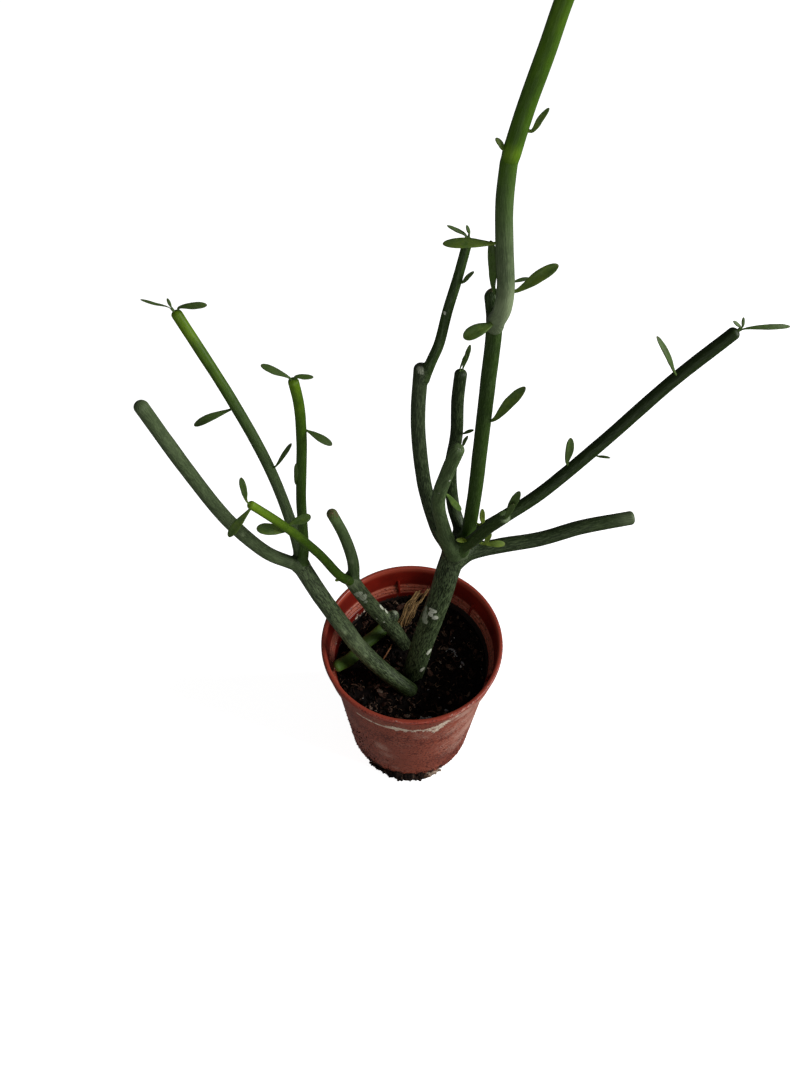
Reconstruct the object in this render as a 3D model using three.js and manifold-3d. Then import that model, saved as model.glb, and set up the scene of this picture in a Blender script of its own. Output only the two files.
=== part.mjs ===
// A potted euphorbia: three rooted cuttings with pencil-thick, jointed stems in a small plastic nursery pot.
// Millimetres, +Z up. The origin is the centre of the pot's foot, on the ground. +X is to the right of
// someone who looks along +Y.

import * as THREE from 'three';
import { mergeVertices } from 'three/addons/utils/BufferGeometryUtils.js';
import Module from 'manifold-3d';

const wasm = await Module();
wasm.setup();

// ---- Driving dimensions -------------------------------------------------------------------------------

const CLEARANCE = 0.3; // between two pieces that touch

const POT = {
  height: 93,
  rimRadius: 45,
  lipWidth: 2.5,
  lipRound: 0.4,
  lipHeight: 1.6, // from the lip's top to its fullest
  collarHeight: 13,
  collarFootRadius: 43,
  shoulderRadius: 41, // outside of the body, just under the collar
  footRadius: 34,
  footRound: 1,
  ledgeHeight: 75, // where the collar's inside has narrowed to the body's inside
  ledgeRadius: 39.3,
  ledgeSteps: [[2.1, 4], [1.4, 2.6], [0.3, 1.4]], // out from the ledge's edge, and up from it
  floorRadius: 32.4,
  floorTop: 3,
  floorRound: 1.5,
  ringInnerRadius: 27.6, // the foot stands on a ring and on a small disc at its middle
  discRadius: 10,
  recess: 1.6,
  recessSlope: 1.1,
  segments: 40,
};
const DRAIN = { count: 6, radius: 3.2, circle: 19, sides: 12 };
const STACKING_RIB = {
  count: 6,
  firstAngle: 40,
  width: 1.1,
  inner: 39.8,
  outer: 43,
  bottom: 74.5,
  top: 84,
  skin: 0.5, // of the wall that stays whole outside the ribs
};

const SOIL = {
  bottom: POT.floorTop + CLEARANCE,
  level: 66.3,
  riseToBack: 0.11, // mm up for each mm towards the back
  riseToRight: 0.05,
  edgeRadius: 38, // about where the soil meets the wall
  lumps: 0.5, // their height
  rings: [33.5, 28, 22, 16, 10, 5],
  segments: 36,
};

const CRUST = {
  from: 239, // degrees round from +X
  to: 300,
  radius: 34.6,
  halfWidth: 2.4,
  halfHeight: 2.6,
  centreHeight: 1.9,
  rings: 13,
  sides: 6,
};

const RING_SPACING = 9; // between the rings of a stem
const CAP_TURNS = [0.5, 1.05]; // the rings of a stem's rounded ends, in radians round them
const TIP_ROUNDNESS = 0.8; // how deep a stem's rounded tip is, as a share of its radius
const STEM_SIDES = 9;
const TRUNK_SIDES = 12;
const LEAF_SIDES = 6;
const LEAF_HALF_THICKNESS = 0.46;
const LEAF_KEEL = 0.22; // how far a blade's edges are folded up, per mm from its midrib
const STALK_HALF_WIDTH = 0.55; // of a leaf's own stalk
// Share of the blade's length, and share of its full width there.
const LEAF_OUTLINE = [[0, 0.3], [0.28, 0.74], [0.6, 1], [0.88, 0.64]];
const SCALE_LEAF_OUTLINE = [[0, 0.5], [0.5, 1], [0.88, 0.6]];
const SCALE_LEAF_LENGTH = 7; // a leaf shorter than this is a plain little scale
const TOWARDS_LIGHT = [0, -0.6, 0.8]; // the way the flat of most leaves faces

// ---- Stems ---------------------------------------------------------------------------------------------
// Each stem follows its own points from root to tip. radii are at root and tip, and cap replaces
// TIP_ROUNDNESS there. A leaf runs from its joint on the stem to its tip.

const RIGHT_CUTTING = [
  {
    node: 'right_trunk', finish: 'oldStem', radii: [5.6, 5.1], sides: TRUNK_SIDES,
    path: [[-1.5, -4, 50], [1, -4, 66], [6, -4, 102], [12, -4, 138], [15, -4, 161], [18, -4, 178]],
  },
  {
    node: 'right_main_stem', finish: 'stem', radii: [2.9, 2.55],
    path: [[18, -4, 171], [21, -2.5, 180], [22.5, 0, 199], [23, 2, 230.5], [23, 2, 258.5], [22.5, 0, 284.5],
      [21, 1.5, 294]],
    leaves: [
      { from: [25.5, 1, 241], to: [35, -2, 259.5], width: 3.2, arch: 0.6 },
      { from: [25, -2, 189.5], to: [26, -4, 200], width: 2, arch: 0.6 },
    ],
  },
  {
    node: 'right_front_stem', finish: 'stem', radii: [2.8, 2.3],
    path: [[17, -6, 171], [14.5, -9.5, 181], [10, -14, 201], [7.5, -19, 221.5], [9.5, -23, 239.5],
      [12.5, -26, 255.5]],
    leaves: [{ from: [9.7, -18, 223.5], to: [16.5, -14, 209.5], width: 2.4, arch: 0.6 }],
  },
  {
    node: 'right_left_stem', finish: 'stem', radii: [2.85, 2.4],
    cap: 0.4,
    path: [[16, -5, 170], [12.5, -6.5, 180], [8.7, -9, 191.5], [3.2, -10, 216.5], [0.6, -9, 236.5],
      [-0.3, -7, 251], [0.3, -4, 269]],
  },
  {
    node: 'right_left_young_stem', finish: 'stem', radii: [1.8, 1.45],
    path: [[1, -5, 263.5], [3.4, -4.5, 271.5], [5.6, -3, 277], [8, 0, 288], [10.5, 2, 298], [13, 4, 310]],
    leaves: [
      { from: [12, 4, 310.5], to: [6.5, 4, 313.5], width: 1.2, arch: 0.3 },
      { from: [13, 4, 311], to: [12, 3.5, 314], width: 1.1, arch: 0.1 },
      { from: [11.7, 1, 297], to: [15, 0, 301.5], width: 1.4, arch: 0.2 },
    ],
  },
  {
    node: 'right_back_stem', finish: 'stem', radii: [2.7, 2.3],
    path: [[18, -2.5, 171], [18.5, 2.5, 177], [15.5, 8, 186], [13.5, 12, 203.5], [15, 15, 219.5],
      [14.5, 16, 236.5], [15, 17, 250]],
    leaves: [
      { from: [17, 14, 221.5], to: [21, 11, 226.5], width: 1.4, arch: 0.3 },
      { from: [17, 13, 215.5], to: [19, 11, 223.5], width: 1.4, arch: 0.4 },
      { from: [15.5, 17, 250.5], to: [17.5, 18, 260.5], width: 1.8, arch: 0.4 },
      { from: [14.5, 16.5, 251], to: [16, 14.5, 259], width: 1.3, arch: -1.6 },
    ],
  },
  {
    node: 'right_long_stem', finish: 'stem', radii: [2.8, 2.45],
    path: [[18, -3, 170.5], [24, 1.5, 174.5], [38, 8, 180.5], [51, 13, 188.5], [72, 20, 210], [94.7, 27, 237],
      [114, 32, 257.2]],
    leaves: [
      { from: [60.5, 17, 202], to: [59.5, 18, 216], width: 3.4, arch: 0.6 },
      { from: [72, 19, 205], to: [77, 17, 206], width: 1.2, arch: 0.2 },
      { from: [95, 26.5, 241], to: [83, 25, 259.5], width: 2.4, arch: 1 },
      { from: [115.5, 32, 257.5], to: [132, 32, 259], width: 2.1, arch: 0.8 },
      { from: [114, 31.5, 258.5], to: [110, 30, 262.5], width: 1.4, arch: 0.3 },
      { from: [115, 32, 258.5], to: [114.5, 33, 262], width: 1.2, arch: 0.1 },
    ],
  },
  {
    node: 'right_low_stem', finish: 'stem', radii: [3.3, 2.9], cap: 0.6,
    path: [[17, -4, 165], [24, -2, 168], [35.5, 0, 170], [52.5, 2, 172.5], [68.5, 4, 178], [90, 6, 182.6]],
  },
  {
    node: 'right_cut_stem', finish: 'stem', radii: [2.55, 2.4], cap: 0.35,
    path: [[18.5, -5, 171.5], [19.5, -8.5, 180.5], [22.5, -12.5, 190], [26.5, -18, 204.5],
      [31, -24.5, 219.5]],
    leaves: [
      { from: [31, -25.5, 221], to: [34, -27, 235.5], width: 2.3, arch: -0.6 },
      { from: [31, -25.5, 219.5], to: [32.5, -28, 230.5], width: 1.8, arch: -0.5 },
      { from: [24.5, -13, 189], to: [28, -16, 199.5], width: 1.8, arch: 0.6 },
      { from: [25, -12, 187.5], to: [34.5, -14, 189.5], width: 2, arch: 0.6 },
      { from: [20.5, -12, 189], to: [15.5, -16, 194.5], width: 2, arch: 0.3 },
    ],
  },
  {
    node: 'right_upper_stem', finish: 'stem', radii: [2.75, 2.3], spacing: 5,
    path: [[22.5, -2, 282.5], [22.5, -4.5, 287.5], [23.5, -7, 293.5], [23.5, -8.5, 302], [22, -8, 313.5],
      [20.5, -8, 328], [20.5, -8, 339.5]],
    leaves: [
      { from: [21, -7, 288.5], to: [12.5, -10, 285.5], width: 3.8, arch: 0.4 },
      { from: [26.5, -8.5, 301], to: [37.5, -7.5, 309], width: 3, arch: 0.5 },
      { from: [26, -7.5, 303.5], to: [30, -6.5, 304], width: 1.1, arch: 0.1 },
      { from: [21, -6, 298.5], to: [18, -7, 316], width: 2.3, arch: 0.4 },
      { from: [19, -8.5, 316], to: [5, -9, 316], width: 2.3, arch: 0.3 },
    ],
  },
  {
    node: 'right_top_stem', finish: 'youngStem', radii: [2.4, 1.8],
    path: [[20.5, -8, 338], [22, -8, 346], [23.5, -8, 353], [26, -9, 364], [28, -10, 374], [32.5, -12, 392],
      [37, -14, 409]],
    leaves: [
      { from: [19, -8.5, 341.5], to: [16.5, -9, 344.5], width: 1.5, arch: 0.2 },
      { from: [25, -8.5, 346], to: [28.5, -8.5, 351.5], width: 1.6, arch: 0.3 },
      { from: [36.5, -15, 410], to: [30.5, -18, 417], width: 2.2, arch: 0.6 },
      { from: [38, -14, 409.5], to: [45.5, -13, 416.5], width: 2.2, arch: 0.6 },
      { from: [37, -13, 410], to: [36.5, -11, 417.5], width: 1.6, arch: 0.3 },
    ],
  },
];

const LEFT_CUTTING = [
  {
    node: 'left_trunk', finish: 'oldStem', radii: [4.2, 3.9], sides: TRUNK_SIDES,
    path: [[2, -14.5, 62.5], [-1.5, -14, 66.5], [-14, -10.5, 79.5], [-25.5, -7, 96], [-32.5, -4, 109.5],
      [-43, 0, 132.5], [-51, 4, 152]],
  },
  {
    node: 'left_outer_stem', finish: 'stem', radii: [2.9, 2.55], cap: 1,
    path: [[-49.5, 3, 149], [-54, 1, 155], [-62, -2, 165.5], [-73.5, -6, 192], [-82.5, -8, 222],
      [-91.5, -10, 258]],
  },
  {
    node: 'left_upright_stem', finish: 'youngStem', radii: [2.15, 1.85],
    path: [[-49.5, 3.5, 148], [-47.5, 3, 160.5], [-45.5, 3, 194.5], [-42, 2, 229.5], [-41, 0, 248.5],
      [-41.5, -2, 261.5]],
    leaves: [
      { from: [-42.5, -2, 262], to: [-51.5, -1, 266.5], width: 2.1, arch: 0.4 },
      { from: [-40.5, -2, 262.5], to: [-35, -2, 262.5], width: 1.5, arch: 0.2 },
      { from: [-39.5, 1, 235], to: [-30.5, -2, 231], width: 2.4, arch: 0.6 },
      { from: [-46.2, 2, 205], to: [-45, 1, 218], width: 1.8, arch: 0.3 },
    ],
  },
  {
    node: 'left_tall_stem', finish: 'youngStem', radii: [2.45, 2.05],
    path: [[-50.5, 4.5, 148.5], [-50.7, 7, 158], [-53.6, 12, 173.5], [-60, 19, 196.5], [-71, 27, 223.5],
      [-87.7, 36, 259.5]],
    leaves: [
      { from: [-72.5, 26, 221], to: [-87, 22, 216], width: 2.5, arch: 1.4 },
      { from: [-57.5, 18, 197], to: [-49, 18, 211], width: 1.7, arch: -0.8 },
      { from: [-89, 35.5, 261], to: [-99, 36, 264], width: 1.1, arch: -0.4 },
      { from: [-88.5, 36, 261], to: [-89.5, 37, 264], width: 1.2, arch: 0.1 },
      { from: [-86, 36, 260.5], to: [-75.5, 36, 262], width: 2.2, arch: 0.6 },
    ],
  },
];

const MIDDLE_CUTTING = [
  {
    node: 'middle_trunk', finish: 'oldStem', radii: [4, 3.5], sides: TRUNK_SIDES,
    path: [[-0.5, 11.5, 59], [-3.5, 12, 65], [-10, 11, 85.5], [-20.5, 10, 108], [-30, 9, 133.5]],
    stubs: [{ from: [-12.5, 11.5, 90.5], to: [-7.5, 13, 97.5], radius: 2.3 }],
  },
  {
    node: 'middle_young_stem', finish: 'youngStem', radii: [2.2, 1.6],
    path: [[-28.5, 7.5, 131], [-32.5, 4.5, 139], [-40, -3, 166.5], [-47.5, -11, 191], [-54.5, -16, 207.5],
      [-60, -19, 218]],
    leaves: [
      { from: [-60.5, -19, 219], to: [-61, -18, 231], width: 2.1, arch: 0.3 },
      { from: [-60, -19.5, 215.5], to: [-69.5, -22, 202.5], width: 2.6, arch: 0.6 },
      { from: [-50, -12.5, 194.5], to: [-60, -14, 197.5], width: 3.5, arch: 0.4 },
      { from: [-48, -12, 198], to: [-41, -9.5, 199.5], width: 2.6, arch: 0.4 },
      { from: [-33, 4, 138.5], to: [-35.5, 2.5, 139], width: 1.6, arch: 0.1 },
    ],
  },
  {
    node: 'middle_finger', finish: 'stem', radii: [2.8, 2.4], cap: 1,
    path: [[-28, 10, 130], [-27.5, 11, 138], [-28.4, 12.5, 145.5], [-31.7, 16, 156.5], [-37.3, 21, 167]],
  },
];

const LOW_SHOOT = [
  {
    node: 'low_shoot', finish: 'stem', radii: [3.2, 2], cap: 0.5,
    path: [[-11, 27, 63], [-12.5, 23, 69.5], [-19, 14, 72], [-24, 8.5, 73.5], [-31.5, -3, 76.5],
      [-35.5, -7.5, 80], [-38, -11, 83]],
    leaves: [{ from: [-25, 9.5, 77], to: [-26, 9, 85], width: 1.2, arch: 0.6 }],
  },
];

// Strips of a dead stalk that has split, all from one root.
const DRY_STALK = {
  root: [-4, 22.5, 63],
  halfWidth: 1,
  halfThickness: 0.45,
  strips: [
    [[-6, 22, 70], [-2, 22.5, 87], [2, 23, 100.5]],
    [[-4, 22.5, 68.5], [0.5, 23, 86], [5, 24, 100]],
    [[-2, 23.5, 69.5], [3.5, 25, 86], [9, 26, 100]],
    [[-4.5, 21.5, 70.5], [-2.5, 21, 80.5], [-0.5, 21.5, 89.5]],
  ],
};
const TWIG = { path: [[-15, 2, 67.5], [-12.5, 6, 68.5], [-10, 11, 69]], halfWidth: 0.7 };

const FINISHES = {
  pot: { color: 0x8c3a2c, roughness: 0.45 },
  soil: { color: 0x1d130e, roughness: 0.95 },
  crust: { color: 0x2c1d15, roughness: 0.95 },
  oldStem: { color: 0x33492f, roughness: 0.6 },
  stem: { color: 0x2b4220, roughness: 0.5 },
  youngStem: { color: 0x3f6a17, roughness: 0.45 },
  straw: { color: 0x9c7a4d, roughness: 0.85 },
};

// ---- Solids --------------------------------------------------------------------------------------------

/** The closed solid of a geometry, its shared vertices merged and its collapsed triangles left out. */
function solidOf(geometry) {
  geometry.deleteAttribute('normal');
  geometry.deleteAttribute('uv');
  const merged = mergeVertices(geometry, 1e-4);
  const kept = [];
  for (let i = 0; i < merged.index.count; i += 3) {
    const [a, b, c] = [0, 1, 2].map((corner) => merged.index.getX(i + corner));
    if (a !== b && b !== c && c !== a) kept.push(a, b, c);
  }
  const vertProperties = new Float32Array(merged.attributes.position.array);
  return new wasm.Manifold(new wasm.Mesh({ numProp: 3, vertProperties, triVerts: new Uint32Array(kept) }));
}

/** The biggest connected body of a solid. A cut can leave loose scraps beside it. */
function biggestBody(solid) {
  return solid.decompose().reduce((best, body) => (body.volume() > best.volume() ? body : best));
}

/** The named mesh of a solid. */
function meshOf(node, solid, finish) {
  const { vertProperties, triVerts } = solid.getMesh();
  const geometry = new THREE.BufferGeometry();
  geometry.setAttribute('position', new THREE.BufferAttribute(new Float32Array(vertProperties), 3));
  geometry.setIndex(new THREE.BufferAttribute(new Uint32Array(triVerts), 1));
  geometry.computeVertexNormals();
  const material = new THREE.MeshStandardMaterial({ ...FINISHES[finish], metalness: 0 });
  const mesh = new THREE.Mesh(geometry, material);
  mesh.name = node;
  return mesh;
}

const vector = (point) => new THREE.Vector3(...point);
const curveThrough = (points) => new THREE.CatmullRomCurve3(points.map(vector), false, 'centripetal');

/** A solid of revolution about +Z. The profile is a list of [radius, height] from axis to axis. */
function revolved(profile, segments) {
  const points = profile.map(([radius, height]) => new THREE.Vector2(radius, height));
  return new THREE.LatheGeometry(points, segments).rotateX(Math.PI / 2);
}

/**
 * A closed body carried along a curve. Each station is [share of the curve, half width, half depth], and
 * the first and last close to a point. The body's depth lies towards face, and keel folds its edges there.
 */
function carried(curve, stations, sides, face = TOWARDS_LIGHT, keel = 0, grow = 0) {
  const last = stations.length - 1;
  const profile = stations.map((_, i) => new THREE.Vector2(i === 0 || i === last ? 0 : 1, i));
  const geometry = new THREE.LatheGeometry(profile, sides);
  const positions = geometry.attributes.position;
  for (let v = 0; v < positions.count; v += 1) {
    const i = Math.round(positions.getY(v));
    const [share, halfWidth, halfDepth] = stations[i];
    const along = curve.getTangentAt(share);
    const depth = vector(face).addScaledVector(along, -vector(face).dot(along)).normalize();
    const width = along.clone().cross(depth);
    const point = curve.getPointAt(share);
    if (i === 0) point.addScaledVector(along, -grow);
    if (i === last) point.addScaledVector(along, grow);
    const across = positions.getX(v) * (halfWidth + grow);
    point.addScaledVector(width, across);
    point.addScaledVector(depth, positions.getZ(v) * (halfDepth + grow) + keel * Math.abs(across));
    positions.setXYZ(v, point.x, point.y, point.z);
  }
  return solidOf(geometry);
}

/** The stations of a round stem: a rounded root, rings a step apart, and a rounded tip. */
function stemStations(length, [rootRadius, tipRadius], cap, spacing = RING_SPACING) {
  const radiusAt = (share) => THREE.MathUtils.lerp(rootRadius, tipRadius, share);
  const rootCap = rootRadius / length;
  const tipCap = (cap * tipRadius) / length;
  const rings = Math.max(3, Math.round((length * (1 - rootCap - tipCap)) / spacing));
  const stations = [[0, 0]];
  for (const turn of CAP_TURNS) {
    stations.push([rootCap * (1 - Math.cos(turn)), rootRadius * Math.sin(turn)]);
  }
  for (let i = 0; i <= rings; i += 1) {
    const share = THREE.MathUtils.lerp(rootCap, 1 - tipCap, i / rings);
    stations.push([share, radiusAt(share)]);
  }
  for (const turn of [...CAP_TURNS].reverse()) {
    stations.push([1 - tipCap * (1 - Math.cos(turn)), tipRadius * Math.sin(turn)]);
  }
  stations.push([1, 0]);
  return stations.map(([share, radius]) => [share, radius, radius]);
}

/** The point on a stem's centre line, clear of its two ends, that lies nearest to a place. */
function nearestOn(curve, place, margin) {
  const shares = Array.from({ length: 201 }, (_, i) => THREE.MathUtils.lerp(margin, 1 - margin, i / 200));
  const distance = (share) => curve.getPointAt(share).distanceTo(place);
  return curve.getPointAt(shares.reduce((best, share) => (distance(share) < distance(best) ? share : best)));
}

/** One leaf: a keeled blade on a short stalk that is rooted on the stem's centre line. */
function leaf(curve, stem, { from, to, width, arch }, grow) {
  const [joint, tip] = [vector(from), vector(to)];
  const root = nearestOn(curve, joint, stem.radii[1] / curve.getLength());
  const middle = joint.clone().lerp(tip, 0.55).addScaledVector(vector(TOWARDS_LIGHT), arch);
  const midrib = curveThrough([root, joint, middle, tip].map((point) => point.toArray()));
  const stalk = root.distanceTo(joint) / midrib.getLength();
  const outline = joint.distanceTo(tip) < SCALE_LEAF_LENGTH ? SCALE_LEAF_OUTLINE : LEAF_OUTLINE;
  const stations = outline.map(([share, full]) => [
    THREE.MathUtils.lerp(stalk, 1, share),
    Math.max(STALK_HALF_WIDTH, (full * width) / 2),
    LEAF_HALF_THICKNESS,
  ]);
  return carried(midrib, [[0, 0, 0], ...stations, [1, 0, 0]], LEAF_SIDES, TOWARDS_LIGHT, LEAF_KEEL, grow);
}

/** One stem with its leaves and stubs fused to it, grown all round by a distance. */
function stemSolid(stem, grow = 0) {
  const curve = curveThrough(stem.path);
  const stations = stemStations(curve.getLength(), stem.radii, stem.cap ?? TIP_ROUNDNESS, stem.spacing);
  let solid = carried(curve, stations, stem.sides ?? STEM_SIDES, TOWARDS_LIGHT, 0, grow);
  for (const spec of stem.leaves ?? []) solid = solid.add(leaf(curve, stem, spec, grow));
  for (const { from, to, radius } of stem.stubs ?? []) {
    const line = curveThrough([from, to]);
    solid = solid.add(carried(line, stemStations(line.getLength(), [radius, radius], 0.6), STEM_SIDES,
      TOWARDS_LIGHT, 0, grow));
  }
  return solid;
}

// ---- Pot -----------------------------------------------------------------------------------------------

/** The outside of the pot, from the middle of its foot up to the lip, as [radius, height]. */
function outerProfile(grow = 0) {
  const collarFoot = POT.height - POT.collarHeight;
  return [
    [POT.footRadius - POT.footRound, 0],
    [POT.footRadius, POT.footRound],
    [POT.shoulderRadius, collarFoot - POT.lipRound],
    [POT.collarFootRadius, collarFoot],
    [POT.rimRadius - POT.lipRound, POT.height - 2 * POT.lipHeight],
    [POT.rimRadius, POT.height - POT.lipHeight],
    [POT.rimRadius - POT.lipRound, POT.height - POT.lipRound],
  ].map(([radius, height]) => [radius + grow, height]);
}

/** Everything inside the pot's outside, moved in or out by a distance, up to the lip. */
function potSpace(grow) {
  const outline = outerProfile(grow);
  const top = outline[outline.length - 1][1];
  return solidOf(revolved([[0, 0], ...outline, [0, top]], POT.segments));
}

function potSolid() {
  const lipMiddle = POT.rimRadius - POT.lipWidth / 2;
  const lipInner = POT.rimRadius - POT.lipWidth;
  const profile = [
    [0, 0],
    [POT.discRadius, 0],
    [POT.discRadius + POT.recessSlope, POT.recess],
    [POT.ringInnerRadius - POT.recessSlope, POT.recess],
    [POT.ringInnerRadius, 0],
    ...outerProfile(),
    [lipMiddle, POT.height],
    [lipInner + POT.lipRound, POT.height - POT.lipRound],
    [lipInner, POT.height - POT.lipHeight],
    ...POT.ledgeSteps.map(([out, up]) => [POT.ledgeRadius + out, POT.ledgeHeight + up]),
    [POT.ledgeRadius, POT.ledgeHeight],
    [POT.floorRadius, POT.floorTop + POT.floorRound],
    [POT.floorRadius - POT.floorRound, POT.floorTop],
    [0, POT.floorTop],
  ];
  let pot = solidOf(revolved(profile, POT.segments));
  for (let i = 0; i < DRAIN.count; i += 1) {
    const angle = ((i + 0.5) * 2 * Math.PI) / DRAIN.count;
    const hole = new THREE.CylinderGeometry(DRAIN.radius, DRAIN.radius, 4 * POT.floorTop, DRAIN.sides);
    hole.rotateX(Math.PI / 2);
    hole.translate(DRAIN.circle * Math.cos(angle), DRAIN.circle * Math.sin(angle), 0);
    pot = pot.subtract(solidOf(hole));
  }
  const withinWall = potSpace(-STACKING_RIB.skin);
  for (let i = 0; i < STACKING_RIB.count; i += 1) {
    const { width, inner, outer, bottom, top } = STACKING_RIB;
    const rib = new THREE.BoxGeometry(outer - inner, width, top - bottom);
    rib.translate((inner + outer) / 2, 0, (bottom + top) / 2);
    rib.rotateZ(THREE.MathUtils.degToRad(STACKING_RIB.firstAngle + (i * 360) / STACKING_RIB.count));
    pot = pot.add(solidOf(rib).intersect(withinWall));
  }
  return pot;
}

// ---- Soil ----------------------------------------------------------------------------------------------

/** The height of the soil: higher at the back and right, with small lumps. */
function soilHeight(x, y) {
  const broad = Math.sin(x * 0.41 + 1.3) * Math.cos(y * 0.37 - 0.6);
  const fine = 0.6 * Math.sin(x * 0.83 - y * 0.71 + 2.1);
  const slope = SOIL.riseToBack * Math.max(y, 0) + SOIL.riseToRight * Math.max(x, 0);
  return SOIL.level + slope + SOIL.lumps * (broad + fine);
}

/** The radius of the pot's inside wall at a height below its ledge. */
function wallRadius(height) {
  const share = (height - POT.floorTop) / (POT.ledgeHeight - POT.floorTop);
  return THREE.MathUtils.lerp(POT.floorRadius, POT.ledgeRadius, share);
}

/** The soil down to the pot's floor, with holes where the buried pieces stand. */
function soilSolid(buried) {
  const bevel = POT.floorRound + CLEARANCE;
  const floorEdge = wallRadius(SOIL.bottom + bevel) - CLEARANCE;
  const side = [[0, SOIL.bottom], [floorEdge - bevel, SOIL.bottom], [floorEdge, SOIL.bottom + bevel]];
  const top = [SOIL.edgeRadius, ...SOIL.rings, 0].map((radius) => [radius, SOIL.level]);
  const geometry = revolved([...side, ...top], SOIL.segments);
  const positions = geometry.attributes.position;
  for (let v = 0; v < positions.count; v += 1) {
    const [x, y, z] = [positions.getX(v), positions.getY(v), positions.getZ(v)];
    if (z < SOIL.level - 1) continue;
    const height = soilHeight(x, y);
    const radius = Math.hypot(x, y);
    const spread = radius > SOIL.edgeRadius - 1 ? (wallRadius(height) - CLEARANCE) / radius : 1;
    positions.setXYZ(v, x * spread, y * spread, height);
  }
  return buried.reduce((soil, piece) => soil.subtract(piece), solidOf(geometry));
}

/** Dried soil caked round the front of the foot, cut to the wall behind it and to the ground. */
function crustSolid() {
  const { from, to, radius, halfWidth, halfHeight, centreHeight, rings } = CRUST;
  const points = [];
  const stations = [];
  for (let i = 0; i < rings; i += 1) {
    const share = i / (rings - 1);
    const angle = THREE.MathUtils.degToRad(THREE.MathUtils.lerp(from, to, share));
    const lump = 0.72 + 0.28 * Math.sin(i * 1.9 + 0.4);
    points.push([radius * Math.cos(angle), radius * Math.sin(angle), centreHeight + 0.5 * Math.cos(i * 2.3)]);
    const end = i === 0 || i === rings - 1;
    stations.push([share, end ? 0 : halfWidth * lump, end ? 0 : halfHeight * (1.5 - lump * 0.6)]);
  }
  const ground = new THREE.BoxGeometry(120, 120, 10).translate(0, 0, -5 + CLEARANCE);
  const crust = carried(curveThrough(points), stations, CRUST.sides, [0, 0, 1]);
  return biggestBody(crust.subtract(potSpace(CLEARANCE)).subtract(solidOf(ground)));
}

// ---- Dead pieces in the soil ---------------------------------------------------------------------------

/** A flat strip that tapers to both of its ends. */
function strip(points, halfWidth, halfThickness, grow) {
  const shares = [0.08, 0.35, 0.65, 0.93];
  const stations = shares.map((share) => [share, halfWidth * (share > 0.9 ? 0.6 : 1), halfThickness]);
  return carried(curveThrough(points), [[0, 0, 0], ...stations, [1, 0, 0]], LEAF_SIDES, [0, -1, 0], 0, grow);
}

function dryStalkSolid(grow = 0) {
  const strips = DRY_STALK.strips.map((points) =>
    strip([DRY_STALK.root, ...points], DRY_STALK.halfWidth, DRY_STALK.halfThickness, grow));
  return strips.reduce((whole, piece) => whole.add(piece));
}

const twigSolid = (grow = 0) => strip(TWIG.path, TWIG.halfWidth, TWIG.halfWidth, grow);

// ---- Assembly ------------------------------------------------------------------------------------------

const plant = new THREE.Group();
const grownBefore = []; // what is already in place, each grown by the clearance

for (const stem of [...RIGHT_CUTTING, ...LEFT_CUTTING, ...MIDDLE_CUTTING, ...LOW_SHOOT]) {
  const cut = grownBefore.reduce((solid, neighbour) => solid.subtract(neighbour), stemSolid(stem));
  plant.add(meshOf(stem.node, biggestBody(cut), stem.finish));
  grownBefore.push(stemSolid(stem, CLEARANCE));
}

const stalk = grownBefore.reduce((solid, neighbour) => solid.subtract(neighbour), dryStalkSolid());
plant.add(meshOf('dry_stalk', biggestBody(stalk), 'straw'));
plant.add(meshOf('soil_twig', twigSolid(), 'straw'));
const buried = [...grownBefore, dryStalkSolid(CLEARANCE), twigSolid(CLEARANCE)];
plant.add(meshOf('soil', biggestBody(soilSolid(buried)), 'soil'));
plant.add(meshOf('pot', potSolid(), 'pot'));
plant.add(meshOf('foot_crust', crustSolid(), 'crust'));

export default plant;
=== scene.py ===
"""A potted euphorbia: the looks of every piece of the plant, its pot and its soil, in a plain studio.

All sizes are in millimetres until make_piece turns them into metres. The places are those of the part's
solids: the origin is the middle of the pot's foot on the ground, +Z is up, and someone looking along +Y has
+X on the right.
"""

import logging
import math
from dataclasses import dataclass, field
from enum import Enum
from functools import reduce
from typing import Any, Sequence

import bpy
import numpy as np
from mathutils import Matrix


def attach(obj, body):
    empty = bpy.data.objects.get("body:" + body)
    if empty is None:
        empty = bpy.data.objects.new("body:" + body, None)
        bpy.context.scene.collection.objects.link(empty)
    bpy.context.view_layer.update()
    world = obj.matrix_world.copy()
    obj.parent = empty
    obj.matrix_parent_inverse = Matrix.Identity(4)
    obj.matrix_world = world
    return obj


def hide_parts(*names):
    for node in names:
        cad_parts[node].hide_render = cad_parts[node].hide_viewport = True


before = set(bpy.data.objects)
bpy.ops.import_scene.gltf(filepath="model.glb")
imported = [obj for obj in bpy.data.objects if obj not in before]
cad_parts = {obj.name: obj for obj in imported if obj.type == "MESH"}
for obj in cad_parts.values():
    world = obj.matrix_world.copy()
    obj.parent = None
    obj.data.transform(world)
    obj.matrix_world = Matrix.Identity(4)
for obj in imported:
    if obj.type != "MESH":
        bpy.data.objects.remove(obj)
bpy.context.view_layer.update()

LOG = logging.getLogger("euphorbia")
MM = 0.001  # metres in a millimetre
BODY = "root"

Point = tuple[float, float, float]
Colour = tuple[float, float, float]  # red, green and blue as a screen shows them, 0 to 255
Ramp = tuple[tuple[float, Colour], ...]  # colours, each at its share from 0 to 1
Spot = tuple[float, float, float, float]  # angle in degrees, height, reach and strength
Number = float | np.ndarray  # one number or many

TOWARDS_LIGHT: Point = (0.0, -0.6, 0.8)  # the way the flat of most leaves faces
UPWARDS: Point = (0.0, 0.0, 1.0)
FORWARDS: Point = (0.0, -1.0, 0.0)
LATTICE_START = 5000.5  # keeps the places that unevenness is worked out for above nought
END_RINGS = 11  # in each rounded end of a rod


# ---- Numbers ----


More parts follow.
